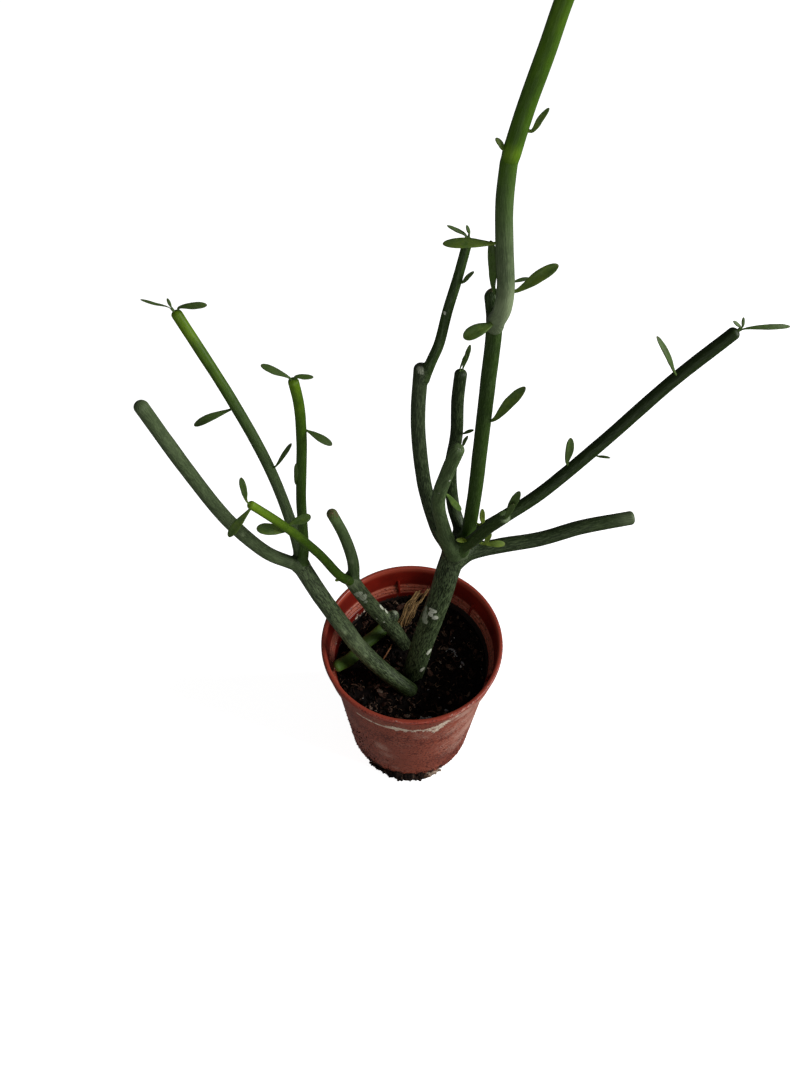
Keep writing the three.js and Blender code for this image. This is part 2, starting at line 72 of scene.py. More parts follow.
def eased(share: np.ndarray) -> np.ndarray:
    """A share kept within 0 and 1 and eased at both ends: 3 times its square less 2 times its cube."""
    kept = np.clip(share, 0.0, 1.0)
    return kept * kept * (3.0 - 2.0 * kept)


def unit(vectors: np.ndarray) -> np.ndarray:
    """Vectors of length one in the same directions."""
    return vectors / np.maximum(np.linalg.norm(vectors, axis=-1, keepdims=True), 1e-9)


def around(radius: Number, angle: Number, height: Number) -> np.ndarray:
    """Places at distances from the upright axis, angles round it in radians, and heights."""
    return np.stack(np.broadcast_arrays(radius * np.cos(angle), radius * np.sin(angle), height), axis=-1)


def lattice_values(cells: np.ndarray, seed: int) -> np.ndarray:
    """A fixed random value from -1 to 1 for each whole-numbered place.

    The three whole numbers are multiplied by large odd numbers, added, and their bits are stirred twice.

    Args:
        cells: whole numbers, (..., 3).
        seed: another seed gives other values.

    Returns:
        One value for each place.
    """
    whole = cells.astype(np.uint64)
    mixed = whole[..., 0] * np.uint64(0x9E3779B1) + whole[..., 1] * np.uint64(0x85EBCA77)
    mixed = mixed + whole[..., 2] * np.uint64(0xC2B2AE3D) + np.uint64(seed * 0x27D4EB2F + 1)
    mixed = (mixed ^ (mixed >> np.uint64(15))) * np.uint64(0x2C1B3C6D)
    mixed = (mixed ^ (mixed >> np.uint64(12))) & np.uint64(0xFFFFFF)
    return mixed.astype(np.float64) / 0x7FFFFF - 1.0


def uneven(points: np.ndarray, size: float, seed: int, layers: int = 1) -> np.ndarray:
    """Smooth unevenness: random values at the corners of a grid of cubes, eased between the corners.

    Each further layer has cubes half as large and counts half as much.

    Args:
        points: places, (n, 3).
        size: side of the first layer's cubes.
        seed: another seed gives another pattern.
        layers: how many layers are added.

    Returns:
        (n,) values, mostly within -1 and 1.
    """
    total = np.zeros(len(points))
    for layer in range(layers):
        scaled = points / (size / 2**layer) + LATTICE_START
        low = np.floor(scaled)
        share = eased(scaled - low)
        corners = low.astype(np.int64)
        value = np.zeros(len(points))
        for step in np.ndindex(2, 2, 2):
            weight = np.prod(np.where(np.array(step) == 1, share, 1.0 - share), axis=1)
            value += weight * lattice_values(corners + np.array(step), seed + 31 * layer)
        total += value / 2**layer
    return total


# ---- Surfaces ----


@dataclass
class Surface:
    """A mesh in the making: its points, its faces, and named values at its points."""

    points: np.ndarray
    faces: list[np.ndarray]
    values: dict[str, np.ndarray] = field(default_factory=dict)

    def normals(self) -> np.ndarray:
        """Outward directions at the points: the sum of the cross products of the faces round each point.

        Returns:
            (n, 3) directions.
        """
        total = np.zeros_like(self.points)
        for faces in self.faces:
            corners = self.points[faces]
            cross = np.cross(corners[:, 2] - corners[:, 0], corners[:, -1] - corners[:, 1])
            if faces.shape[1] == 3:
                cross = np.cross(corners[:, 1] - corners[:, 0], corners[:, 2] - corners[:, 0])
            for corner in range(faces.shape[1]):
                np.add.at(total, faces[:, corner], cross)
        return unit(total)

    def swell(self, relief: np.ndarray) -> None:
        """Move each point outwards by its own amount."""
        self.points = self.points + relief[:, None] * self.normals()

    @staticmethod
    def joined(surfaces: Sequence["Surface"]) -> "Surface":
        """One surface that holds all of some surfaces, which have values of the same names.

        Args:
            surfaces: the surfaces.

        Returns:
            The one surface.
        """
        starts = np.cumsum([0] + [len(surface.points) for surface in surfaces])
        faces = [part + start for surface, start in zip(surfaces, starts) for part in surface.faces]
        values = {name: np.concatenate([surface.values[name] for surface in surfaces])
                  for name in surfaces[0].values}
        return Surface(np.concatenate([surface.points for surface in surfaces]), faces, values)


def ring_faces(rings: int, sides: int) -> list[np.ndarray]:
    """The faces of a body of closed rings between two end points.

    Point 0 is the first end, then come the rings, each of sides points, and last the other end. A ring's
    points run anticlockwise for someone who looks against the direction in which the rings follow.

    Args:
        rings: number of rings.
        sides: number of points in each.

    Returns:
        The four-sided faces between rings and the triangles at both ends.
    """
    ring, side = np.meshgrid(np.arange(rings - 1), np.arange(sides), indexing="ij")
    after = (side + 1) % sides
    start = 1 + ring * sides
    quads = np.stack([start + side, start + after, start + sides + after, start + sides + side], axis=-1)
    around = np.arange(sides)
    onward = (around + 1) % sides
    last = 1 + (rings - 1) * sides
    first_end = np.stack([np.zeros(sides, int), 1 + onward, 1 + around], axis=-1)
    last_end = np.stack([np.full(sides, last + sides), last + around, last + onward], axis=-1)
    return [quads.reshape(-1, 4), first_end, last_end]


class Spine:
    """A smooth centre line through its points, measured along its length.

    Between two points it is the cubic whose slopes come from the neighbouring points, each weighed by the
    square root of its distance (a centripetal Catmull-Rom curve). It is sampled and measured along.
    """

    SAMPLES_PER_SPAN = 120
    CHORD = 0.2  # how far before and after a place its direction is taken

    def __init__(self, path: Sequence[Point] | np.ndarray) -> None:
        """Sample the line. Beyond its ends, the second and last but one points are mirrored.

        Args:
            path: the points that it passes through.
        """
        path_points = np.array(path, float)
        ends = np.vstack([2 * path_points[0] - path_points[1], path_points,
                          2 * path_points[-1] - path_points[-2]])
        steps = np.sqrt(np.linalg.norm(np.diff(ends, axis=0), axis=1))[:, None]
        before, start, end, after = ends[:-3], ends[1:-2], ends[2:-1], ends[3:]
        back, here, ahead = steps[:-2], steps[1:-1], steps[2:]
        slope = ((start - before) / back - (end - before) / (back + here) + (end - start) / here) * here
        next_slope = ((end - start) / here - (after - start) / (here + ahead) + (after - end) / ahead) * here
        square = -3 * start + 3 * end - 2 * slope - next_slope
        cube = 2 * start - 2 * end + slope + next_slope
        share = np.linspace(0.0, 1.0, self.SAMPLES_PER_SPAN, endpoint=False)[None, :, None]
        spans = [part[:, None, :] for part in (start, slope, square, cube)]
        sampled = spans[0] + spans[1] * share + spans[2] * share**2 + spans[3] * share**3
        self.samples = np.vstack([sampled.reshape(-1, 3), path_points[-1:]])
        strides = np.linalg.norm(np.diff(self.samples, axis=0), axis=1)
        self.lengths = np.concatenate([[0.0], np.cumsum(strides)])

    @property
    def length(self) -> float:
        """The length of the whole line."""
        return float(self.lengths[-1])

    def at(self, lengths: np.ndarray) -> np.ndarray:
        """The places at some lengths along the line."""
        return np.stack([np.interp(lengths, self.lengths, each) for each in self.samples.T], axis=-1)

    def along(self, lengths: np.ndarray) -> np.ndarray:
        """The directions in which the line runs at some lengths: from just before to just after each."""
        ahead, back = (np.clip(lengths + chord, 0, self.length) for chord in (self.CHORD, -self.CHORD))
        return unit(self.at(ahead) - self.at(back))

    def nearest(self, place: Point, margin: float = 0.0) -> float:
        """The length along the line, clear of both ends by a margin, that lies nearest to a place.

        Args:
            place: the place.
            margin: the margin.

        Returns:
            The length.
        """
        inside = (self.lengths >= margin) & (self.lengths <= self.length - margin)
        distance = np.linalg.norm(self.samples - np.array(place), axis=1)
        return float(self.lengths[np.argmin(np.where(inside, distance, np.inf))])


def swept(spine: Spine, lengths: np.ndarray, half_width: np.ndarray, half_depth: np.ndarray, sides: int,
          face: Point = TOWARDS_LIGHT, keel: float = 0.0, squareness: float = 1.0) -> Surface:
    """A closed body carried along a line.

    At each length the section is an oval: half_width times the sine and half_depth times the cosine of the
    angle round it. Its depth lies towards face, square to the line. A keel lifts each point by keel times
    its distance from the middle, so the edges fold up. Both ends close to a point.

    Args:
        spine: the line.
        lengths: lengths along it, the first and last being the two ends.
        half_width: half widths at the lengths.
        half_depth: half depths at the lengths.
        sides: points round each section.
        face: the way the depth lies.
        keel: rise of the edges per millimetre from the middle.
        squareness: below 1 the oval's sides are fuller, towards a rounded box.

    Returns:
        The surface, with the value grain at each point: the straightened body's own coordinates, round it
        in x and y and along it in z.
    """
    angle = np.arange(sides) * 2 * np.pi / sides
    across = np.sign(np.sin(angle)) * np.abs(np.sin(angle)) ** squareness
    towards = np.sign(np.cos(angle)) * np.abs(np.cos(angle)) ** squareness
    centre, along = spine.at(lengths), spine.along(lengths)
    depth_way = unit(np.array(face) - (along @ np.array(face))[:, None] * along)
    width_way = np.cross(along, depth_way)
    offset = half_width[1:-1, None] * across[None, :]
    rise = half_depth[1:-1, None] * towards[None, :] + keel * np.abs(offset)
    rings = (centre[1:-1, None, :] + offset[..., None] * width_way[1:-1, None, :]
             + rise[..., None] * depth_way[1:-1, None, :])
    points = np.vstack([centre[:1], rings.reshape(-1, 3), centre[-1:]])
    mean = float(np.mean(half_width[1:-1]))
    straight = np.stack(np.broadcast_arrays(mean * np.sin(angle)[None, :], mean * np.cos(angle)[None, :],
                                            lengths[1:-1, None]), axis=-1)
    grain = np.vstack([[0.0, 0.0, lengths[0]], straight.reshape(-1, 3), [0.0, 0.0, lengths[-1]]])
    return Surface(points, ring_faces(len(lengths) - 2, sides), {"grain": grain})


def lump_faces() -> tuple[np.ndarray, np.ndarray]:
    """A rough ball of 26 points and 24 four-sided faces: a cube of two by two squares, blown up round.

    Returns:
        Its points, at a distance of one from the middle, and its faces.
    """
    steps = np.array([place for place in np.ndindex(3, 3, 3) if place != (1, 1, 1)])
    index = {tuple(place): number for number, place in enumerate(steps)}
    faces = []
    for axis in range(3):
        first, second = (axis + 1) % 3, (axis + 2) % 3
        for level, order in ((2, (0, 1, 2, 3)), (0, (3, 2, 1, 0))):
            for one, two in np.ndindex(2, 2):
                corners = []
                for add_one, add_two in ((0, 0), (1, 0), (1, 1), (0, 1)):
                    place = [0, 0, 0]
                    place[axis], place[first], place[second] = level, one + add_one, two + add_two
                    corners.append(index[tuple(place)])
                faces.append([corners[number] for number in order])
    return unit(steps - 1.0), np.array(faces)


def random_turns(random: np.random.Generator, count: int, tilt: float) -> np.ndarray:
    """Turning matrices: any turn about the vertical, then a tilt about a random level line.

    Args:
        random: the source of randomness.
        count: how many.
        tilt: the spread of the tilt in radians.

    Returns:
        (count, 3, 3) matrices.
    """
    turn, way, lean = (random.uniform(0, 2 * np.pi, count), random.uniform(0, 2 * np.pi, count),
                       random.normal(0, tilt, count))
    zero, one = np.zeros(count), np.ones(count)
    about_z = np.array([[np.cos(turn), -np.sin(turn), zero], [np.sin(turn), np.cos(turn), zero],
                        [zero, zero, one]]).transpose(2, 0, 1)
    axis = np.stack([np.cos(way), np.sin(way), zero], axis=-1)
    cross = np.array([[zero, zero, axis[:, 1]], [zero, zero, -axis[:, 0]],
                      [-axis[:, 1], axis[:, 0], zero]]).transpose(2, 0, 1)
    tilts = (np.eye(3) + np.sin(lean)[:, None, None] * cross
             + (1 - np.cos(lean))[:, None, None] * (cross @ cross))
    return tilts @ about_z


def scattered(random: np.random.Generator, places: np.ndarray, sizes: np.ndarray, roughness: float,
              tilt: float, tones: np.ndarray) -> Surface:
    """Rough little lumps at some places, all in one surface.

    Each is the ball of lump_faces, its points moved in or out at random, stretched to its three half sizes,
    turned and set at its place.

    Args:
        random: the source of randomness.
        places: their middles, (n, 3).
        sizes: their half sizes, (n, 3).
        roughness: how far points move in or out, as a share.
        tilt: the spread of their tilts in radians.
        tones: a value from 0 to 1 for each, for its colour.

    Returns:
        The surface, with the value tone.
    """
    ball, faces = lump_faces()
    count = len(places)
    pushed = ball[None] * (1 + roughness * random.uniform(-1, 1, (count, len(ball), 1)))
    turned = np.einsum("nij,nvj->nvi", random_turns(random, count, tilt), pushed * sizes[:, None, :])
    all_faces = faces[None] + (np.arange(count) * len(ball))[:, None, None]
    return Surface((turned + places[:, None, :]).reshape(-1, 3), [all_faces.reshape(-1, 4)],
                   {"tone": np.repeat(tones, len(ball))})


# ---- Where stems grow together ----


@dataclass(frozen=True)
class Limb:
    """A stem as the space round its centre line, for blending it into the stems that it grows from."""

    centres: np.ndarray  # the centre line's points
    radii: np.ndarray  # the stem's radius at each
    nearest_bit: float = 2.0  # how much of it always counts as near

    def near(self, place: np.ndarray, reach: float) -> "Limb":
        """The part of the limb that lies within a distance of a place, or its nearest bit.

        Args:
            place: the place.
            reach: the distance.

        Returns:
            That part.
        """
        distance = np.linalg.norm(self.centres - place, axis=1)
        kept = np.flatnonzero(distance < max(reach, distance.min() + self.nearest_bit))
        first, last = max(kept[0] - 1, 0), min(kept[-1] + 2, len(self.centres))
        return Limb(self.centres[first:last], self.radii[first:last])

    def distance(self, points: np.ndarray) -> tuple[np.ndarray, np.ndarray]:
        """How far points are outside the limb, and the way out.

        The distance to the nearest place on the centre line, less the radius there.

        Args:
            points: places, (n, 3).

        Returns:
            (n,) distances, negative inside, and (n, 3) outward directions.
        """
        start, step = self.centres[:-1], np.diff(self.centres, axis=0)
        share = np.einsum("nmi,mi->nm", points[:, None, :] - start[None], step) / np.sum(step**2, axis=1)
        share = np.clip(share, 0.0, 1.0)
        offset = points[:, None, :] - (start[None] + share[..., None] * step[None])
        radius = self.radii[:-1] + share * np.diff(self.radii)
        outside = np.linalg.norm(offset, axis=2) - radius
        best = np.argmin(outside, axis=1)
        rows = np.arange(len(points))
        return outside[rows, best], unit(offset[rows, best])


@dataclass(frozen=True)
class Weld:
    """A place where stems grow together, the stems in it, and how softly their skins flow together."""

    place: Point
    reach: float
    softness: float
    nodes: tuple[str, ...]
    margin: float = 10.0  # how far past its reach the stems still count
    fade: float = 1.5  # over how much depth the points inside a neighbour come to rest
    rounds: int = 6  # of moving
    pull: float = 0.9  # the share of the way that a round moves a point
    longest_step: float = 2.0
    dip_slope: float = 0.35
    deepest_dip: float = 0.3
    seam_width: float = 1.3  # as a share of the softness

    def blend(self, points: np.ndarray, own: Limb, others: Sequence[Limb]) -> tuple[np.ndarray, np.ndarray]:
        """Move a stem's points onto the skin that it shares with the stems it has grown together with.

        The shared skin lies where the smooth minimum of the two smallest distances is nought: with h the
        share 0.5 + 0.5 (b - a) / softness kept within 0 and 1, it is b + (a - b) h - softness h (1 - h).
        Points are moved against its slope. Past the middle of a joint they dip a little under the
        neighbour's skin, and points deep inside a neighbour stay.

        Args:
            points: the stem's points, (n, 3).
            own: the stem as a limb.
            others: its neighbours as limbs.

        Returns:
            The moved points, and how near to a joint's middle each is, 0 to 1.
        """
        place = np.array(self.place)
        near = np.flatnonzero(np.linalg.norm(points - place, axis=1) < self.reach)
        seam = np.zeros(len(points))
        if not len(near):
            return points, seam
        limbs = [limb.near(place, self.reach + self.margin) for limb in (own, *others)]
        moved = points[near].copy()
        first = np.stack([limb.distance(moved)[0] for limb in limbs[1:]], axis=1).min(axis=1)
        kept = eased((first + self.softness + self.fade) / self.fade)
        for _ in range(self.rounds):
            found = [limb.distance(moved) for limb in limbs]
            distance = np.stack([each[0] for each in found], axis=1)
            outward = np.stack([each[1] for each in found], axis=1)
            order = np.argsort(distance, axis=1)
            rows = np.arange(len(moved))
            one, two = distance[rows, order[:, 0]], distance[rows, order[:, 1]]
            share = np.clip(0.5 + 0.5 * (two - one) / self.softness, 0.0, 1.0)
            value = two + (one - two) * share - self.softness * share * (1 - share)
            slope = (share[:, None] * outward[rows, order[:, 0]]
                     + (1 - share)[:, None] * outward[rows, order[:, 1]])
            past = distance[:, 0] - distance[:, 1:].min(axis=1)
            dip = np.clip(self.dip_slope * past, 0.0, self.deepest_dip)
            step = (value + dip) / np.maximum(np.sum(slope**2, axis=1), 0.25)
            step = np.clip(step, -self.longest_step, self.longest_step)
            moved -= (self.pull * kept * step)[:, None] * slope
        result = points.copy()
        result[near] = moved
        gap = np.abs(distance[:, 0] - distance[:, 1:].min(axis=1))
        seam[near] = eased(1.0 - gap / (self.seam_width * self.softness))
        return result, seam


# ---- Materials ----


def screen(colour: Colour) -> tuple[float, float, float, float]:
    """A screen colour as light: each channel's share, less its offset, to the power 2.4.

    Args:
        colour: the colour.

    Returns:
        Red, green and blue light, and 1 for opaque.
    """
    shares = np.array(colour, float) / 255.0
    light = np.where(shares <= 0.04045, shares / 12.92, ((shares + 0.055) / 1.055) ** 2.4)
    return (float(light[0]), float(light[1]), float(light[2]), 1.0)


@dataclass(frozen=True)
class Amount:
    """A number, vector or colour that a recipe's nodes work out. Numbers join by the usual signs."""

    recipe: "Recipe"
    socket: bpy.types.NodeSocket

    def __add__(self, other: "Amount | float") -> "Amount":
        """This number and another."""
        return self.recipe.reckoned("ADD", self, other)

    def __sub__(self, other: "Amount | float") -> "Amount":
        """This number less another."""
        return self.recipe.reckoned("SUBTRACT", self, other)

    def __rsub__(self, other: float) -> "Amount":
        """A constant less this number."""
        return self.recipe.reckoned("SUBTRACT", other, self)

    def __mul__(self, other: "Amount | float") -> "Amount":
        """This number times another."""
        return self.recipe.reckoned("MULTIPLY", self, other)

    def __pow__(self, power: float) -> "Amount":
        """This number to a power."""
        return self.recipe.reckoned("POWER", self, power)


class Recipe:
    """The nodes of one material, made by short calls. Lengths in it are in millimetres."""

    def __init__(self, name: str) -> None:
        """Start an empty material, and its place: the point's own coordinates.

        Args:
            name: the material's name.
        """
        self.material = bpy.data.materials.new(name)
        self.material.use_nodes = True
        self.material.node_tree.nodes.clear()
        self.place = self.scaled(self._work("TexCoord", "Object", {}), (1 / MM, 1 / MM, 1 / MM))

    def _node(self, kind: str, inputs: dict[Any, Any], **settings: Any) -> bpy.types.Node:
        """Add a node.

        Args:
            kind: its type.
            inputs: what feeds its inputs, by name or number: a worked out amount or a constant.
            settings: its options, by name.

        Returns:
            The node.
        """
        node = self.material.node_tree.nodes.new(f"ShaderNode{kind}")
        for name, option in settings.items():
            setattr(node, name, option)
        for name, source in inputs.items():
            socket = node.inputs[name]
            if isinstance(source, Amount):
                self.material.node_tree.links.new(source.socket, socket)
            else:
                socket.default_value = screen(source) if socket.type == "RGBA" else source
        return node

    def _work(self, kind: str, output: Any, inputs: dict[Any, Any], **settings: Any) -> Amount:
        """What a new node gives at one of its outputs."""
        return Amount(self, self._node(kind, inputs, **settings).outputs[output])

    def scaled(self, vector: Amount, scale: Point) -> Amount:
        """A vector with its three parts multiplied by three numbers."""
        return self._work("Mapping", "Vector", {"Vector": vector, "Scale": scale})

    def value(self, name: str) -> Amount:
        """A number that the mesh holds at its points."""
        return self._work("Attribute", "Fac", {}, attribute_name=name)

    def vector(self, name: str) -> Amount:
        """A vector that the mesh holds at its points."""
        return self._work("Attribute", "Vector", {}, attribute_name=name)

    def noise(self, vector: Amount, size: Point | float, detail: float = 3.0, rough: float = 0.55,
              twist: float = 0.0) -> Amount:
        """Cloudy noise from 0 to 1 with features of a size, or of three sizes along the three axes.

        Args:
            vector: the coordinates.
            size: the features' size, or three sizes.
            detail: how many finer layers are added.
            rough: how much the finer layers count.
            twist: how far the pattern is warped.

        Returns:
            The noise.
        """
        sizes = (size, size, size) if isinstance(size, (int, float)) else size
        cells = self.scaled(vector, tuple(1 / each for each in sizes))
        return self._work("TexNoise", "Fac", {
            "Vector": cells, "Scale": 1.0, "Detail": detail, "Roughness": rough, "Distortion": twist})

    def ranged(self, value: Amount, low: float, high: float, start: float = 0.0, end: float = 1.0) -> Amount:
        """A value carried from one range to another, held at the ends and eased between them."""
        ends = {"From Min": low, "From Max": high, "To Min": start, "To Max": end}
        return self._work("MapRange", "Result", {"Value": value, **ends}, interpolation_type="SMOOTHSTEP")

    def torn(self, value: Amount, noise: Amount, amount: float, low: float, high: float) -> Amount:
        """A painted value with a torn edge: it is moved by noise, then cut off between low and high."""
        return self.ranged(value + (noise - 0.5) * amount, low, high)

    def reckoned(self, operation: str, first: Amount | float, second: Amount | float) -> Amount:
        """Two numbers put together by an operation."""
        return self._work("Math", "Value", {0: first, 1: second}, operation=operation)

    def largest(self, *numbers: Amount) -> Amount:
        """The largest of some numbers."""
        return reduce(lambda one, two: self.reckoned("MAXIMUM", one, two), numbers)

    def between(self, share: Amount, first: Amount | float, second: Amount | float) -> Amount:
        """A number between two numbers."""
        return self._work("Mix", 0, {0: share, 2: first, 3: second})

    def mixed(self, share: Amount | float, first: Amount | Colour, second: Amount | Colour,
              blend: str = "MIX") -> Amount:
        """A colour between two colours."""
        return self._work("Mix", 2, {0: share, 6: first, 7: second}, data_type="RGBA", blend_type=blend)

    def shaded(self, colour: Amount, shade: Colour) -> Amount:
        """A colour multiplied by another."""
        return self.mixed(1.0, colour, shade, "MULTIPLY")

    def colours(self, share: Amount, stops: Ramp) -> Amount:
        """A colour from a row of colours, each at its share.

        Args:
            share: where in the row.
            stops: the row.

        Returns:
            The colour.
        """
        colour = self._work("ValToRGB", "Color", {"Fac": share})
        ramp = colour.socket.node.color_ramp
        while len(ramp.elements) < len(stops):
            ramp.elements.new(0.5)
        for element, (position, stop) in zip(ramp.elements, stops):
            element.position, element.color = position, screen(stop)
        return colour

    def finish(self, colour: Amount, roughness: Amount | float, relief: Amount | None, depth: float,
               specular: float, glow: float = 0.0) -> bpy.types.Material:
        """End the recipe with the surface itself.

        Args:
            colour: its colour.
            roughness: its roughness.
            relief: its fine relief, 0 to 1, or none.
            depth: the relief's depth in millimetres.
            specular: how strongly it mirrors.
            glow: how strongly it shines by itself.

        Returns:
            The material.
        """
        inputs = {"Base Color": colour, "Roughness": roughness, "Specular IOR Level": specular,
                  "Emission Strength": glow}
        if relief is not None:
            bump = {"Height": relief, "Strength": 1.0, "Distance": depth * MM}
            inputs["Normal"] = self._work("Bump", "Normal", bump)
        self._node("OutputMaterial", {"Surface": self._work("BsdfPrincipled", "BSDF", inputs)})
        return self.material


@dataclass(frozen=True)
class Bark:
    """The skin of a stem: waxy green under a net of short lengthwise ridges, with painted shade and
    highlight.

    The mesh gives youth (0 old to 1 a lime green tip), joint (near a joint, where the ridges lose their
    way), rugged (how strong the net and its painted shade and highlight are), deep (how much
    darker the green is: its own darker green, and painted shade where the stem lies in shade), bloom
    (a pale waxy film, in places a painted sheen where light falls), grey (dead patches), sap (dried white
    sap) and brown (dead ends).
    """

    name: str
    roughness: float = 0.42
    ridge: Point = (0.38, 0.38, 3.4)  # a ridge's size across and along the stem
    crossed_ridge: float = 0.6  # its size at a joint
    relief: float = 0.3
    by_youth: Ramp = ((0, (64, 84, 48)), (0.25, (66, 92, 40)), (0.5, (66, 98, 24)), (0.7, (78, 116, 16)),
                      (0.85, (104, 142, 22)), (1, (128, 168, 26)))
    # painted shade: the green is multiplied by this in the hollows between the ridges
    hollow_shade: Colour = (128, 136, 116)  # what the green is multiplied by between ridges
    # the pale waxy film's colour, also the colour of painted sheen and of the painted highlight on ridge tops
    film_and_sheen: Colour = (144, 160, 120)
    grey: Ramp = ((0.36, (112, 122, 98)), (0.6, (172, 180, 156)))
    sap: Ramp = ((0.3, (156, 162, 140)), (0.6, (220, 224, 204)))
    dead: Ramp = ((0.3, (58, 40, 26)), (0.55, (120, 96, 66)), (0.75, (176, 156, 122)))

    def material(self) -> bpy.types.Material:
        """Build the material: green by youth, darkened as painted shade, pale ridge tops and dark hollows as
        painted highlight and shade, then a pale film that is in places a painted sheen, patches and sap.

        Returns:
            The material.
        """
        mix = Recipe(self.name)
        grain, youth = mix.vector("grain"), mix.value("youth")
        ridges = mix.between(mix.value("joint"), mix.noise(grain, self.ridge, 2.0, twist=0.5),
                             mix.noise(mix.place, self.crossed_ridge, 2.0, twist=0.5))
        patches = mix.noise(mix.place, 6.0)
        dots = mix.ranged(mix.noise(grain, (0.4, 0.4, 0.9), 1.0), 0.56, 0.7)
        streaks = mix.noise(grain, (0.5, 0.5, 5.0), 2.0, 0.6)
        crumbly = mix.noise(mix.place, 0.8, 3.0, 0.6)
        # the ridges' tops, paler as painted highlight; the hollows between them darker as painted shade
        tops = mix.ranged(ridges, 0.47, 0.57)
        rugged = mix.value("rugged") * mix.ranged(youth, 0.1, 0.6, 1.0, 0.3)
        green = mix.colours(youth + mix.ranged(patches, 0.3, 0.7, -0.06, 0.06), self.by_youth)
        # painted shade: the green is darkened towards black where the stem lies in shade, on top of its own
        # darker green
        green = mix.mixed(mix.value("deep"), green, (0, 0, 0))
        skin = mix.mixed((1.0 - tops) * rugged, green, mix.shaded(green, self.hollow_shade))
        # pale waxy film, in places a painted sheen; ridge tops are mixed towards it as painted highlight,
        # dots as pale pores
        film_and_sheen = mix.value("bloom") * mix.ranged(patches, 0.3, 0.7, 0.7, 1.2)
        skin = mix.mixed(film_and_sheen + (tops + dots) * rugged * 0.24, skin, self.film_and_sheen)
        grey = mix.torn(mix.value("grey"), crumbly, 0.7, 0.34, 0.46)
        skin = mix.mixed(grey, skin, mix.colours(streaks, self.grey))
        sap = mix.torn(mix.value("sap"), crumbly, 0.5, 0.42, 0.54)
        skin = mix.mixed(sap, skin, mix.colours(crumbly, self.sap))
        brown = mix.torn(mix.value("brown"), crumbly, 0.7, 0.35, 0.65)
        skin = mix.mixed(brown, skin, mix.colours(crumbly, self.dead))
        dry = mix.largest(grey, sap, brown)
        rough = mix.ranged(ridges, 0.3, 0.7, self.roughness + 0.12, self.roughness) + dry * 0.35
        relief = ridges * mix.ranged(youth, 0.1, 0.8, 1.0, 0.25) + dry * (crumbly * 1.2)
        return mix.finish(skin, rough, relief, self.relief, 0.25)


@dataclass(frozen=True)
class LeafSkin:
    """A small fleshy leaf: matt green, a little paler along its fine streaks, with a brown tip."""

    name: str = "leaf_skin"
    by_youth: Ramp = ((0, (66, 80, 44)), (0.5, (76, 106, 36)), (1, (134, 156, 46)))
    streak: Colour = (118, 134, 92)
    tip: Colour = (96, 84, 48)

    def material(self) -> bpy.types.Material:
        """Build the material from the leaf's own coordinates: across in x, along in z.

        Returns:
            The material.
        """
        mix = Recipe(self.name)
        fine = mix.noise(mix.vector("grain"), (0.3, 0.3, 1.4), 3.0, 0.6)
        youth = mix.value("youth") + mix.ranged(mix.noise(mix.place, 2.4), 0.3, 0.7, -0.12, 0.12)
        streaks = mix.ranged(fine, 0.4, 0.72, 0.0, 0.3)
        skin = mix.mixed(streaks, mix.colours(youth, self.by_youth), self.streak)
        skin = mix.mixed(mix.value("brown") * 0.85, skin, self.tip)
        return mix.finish(skin, mix.ranged(fine, 0.3, 0.7, 0.62, 0.5), fine, 0.08, 0.35)


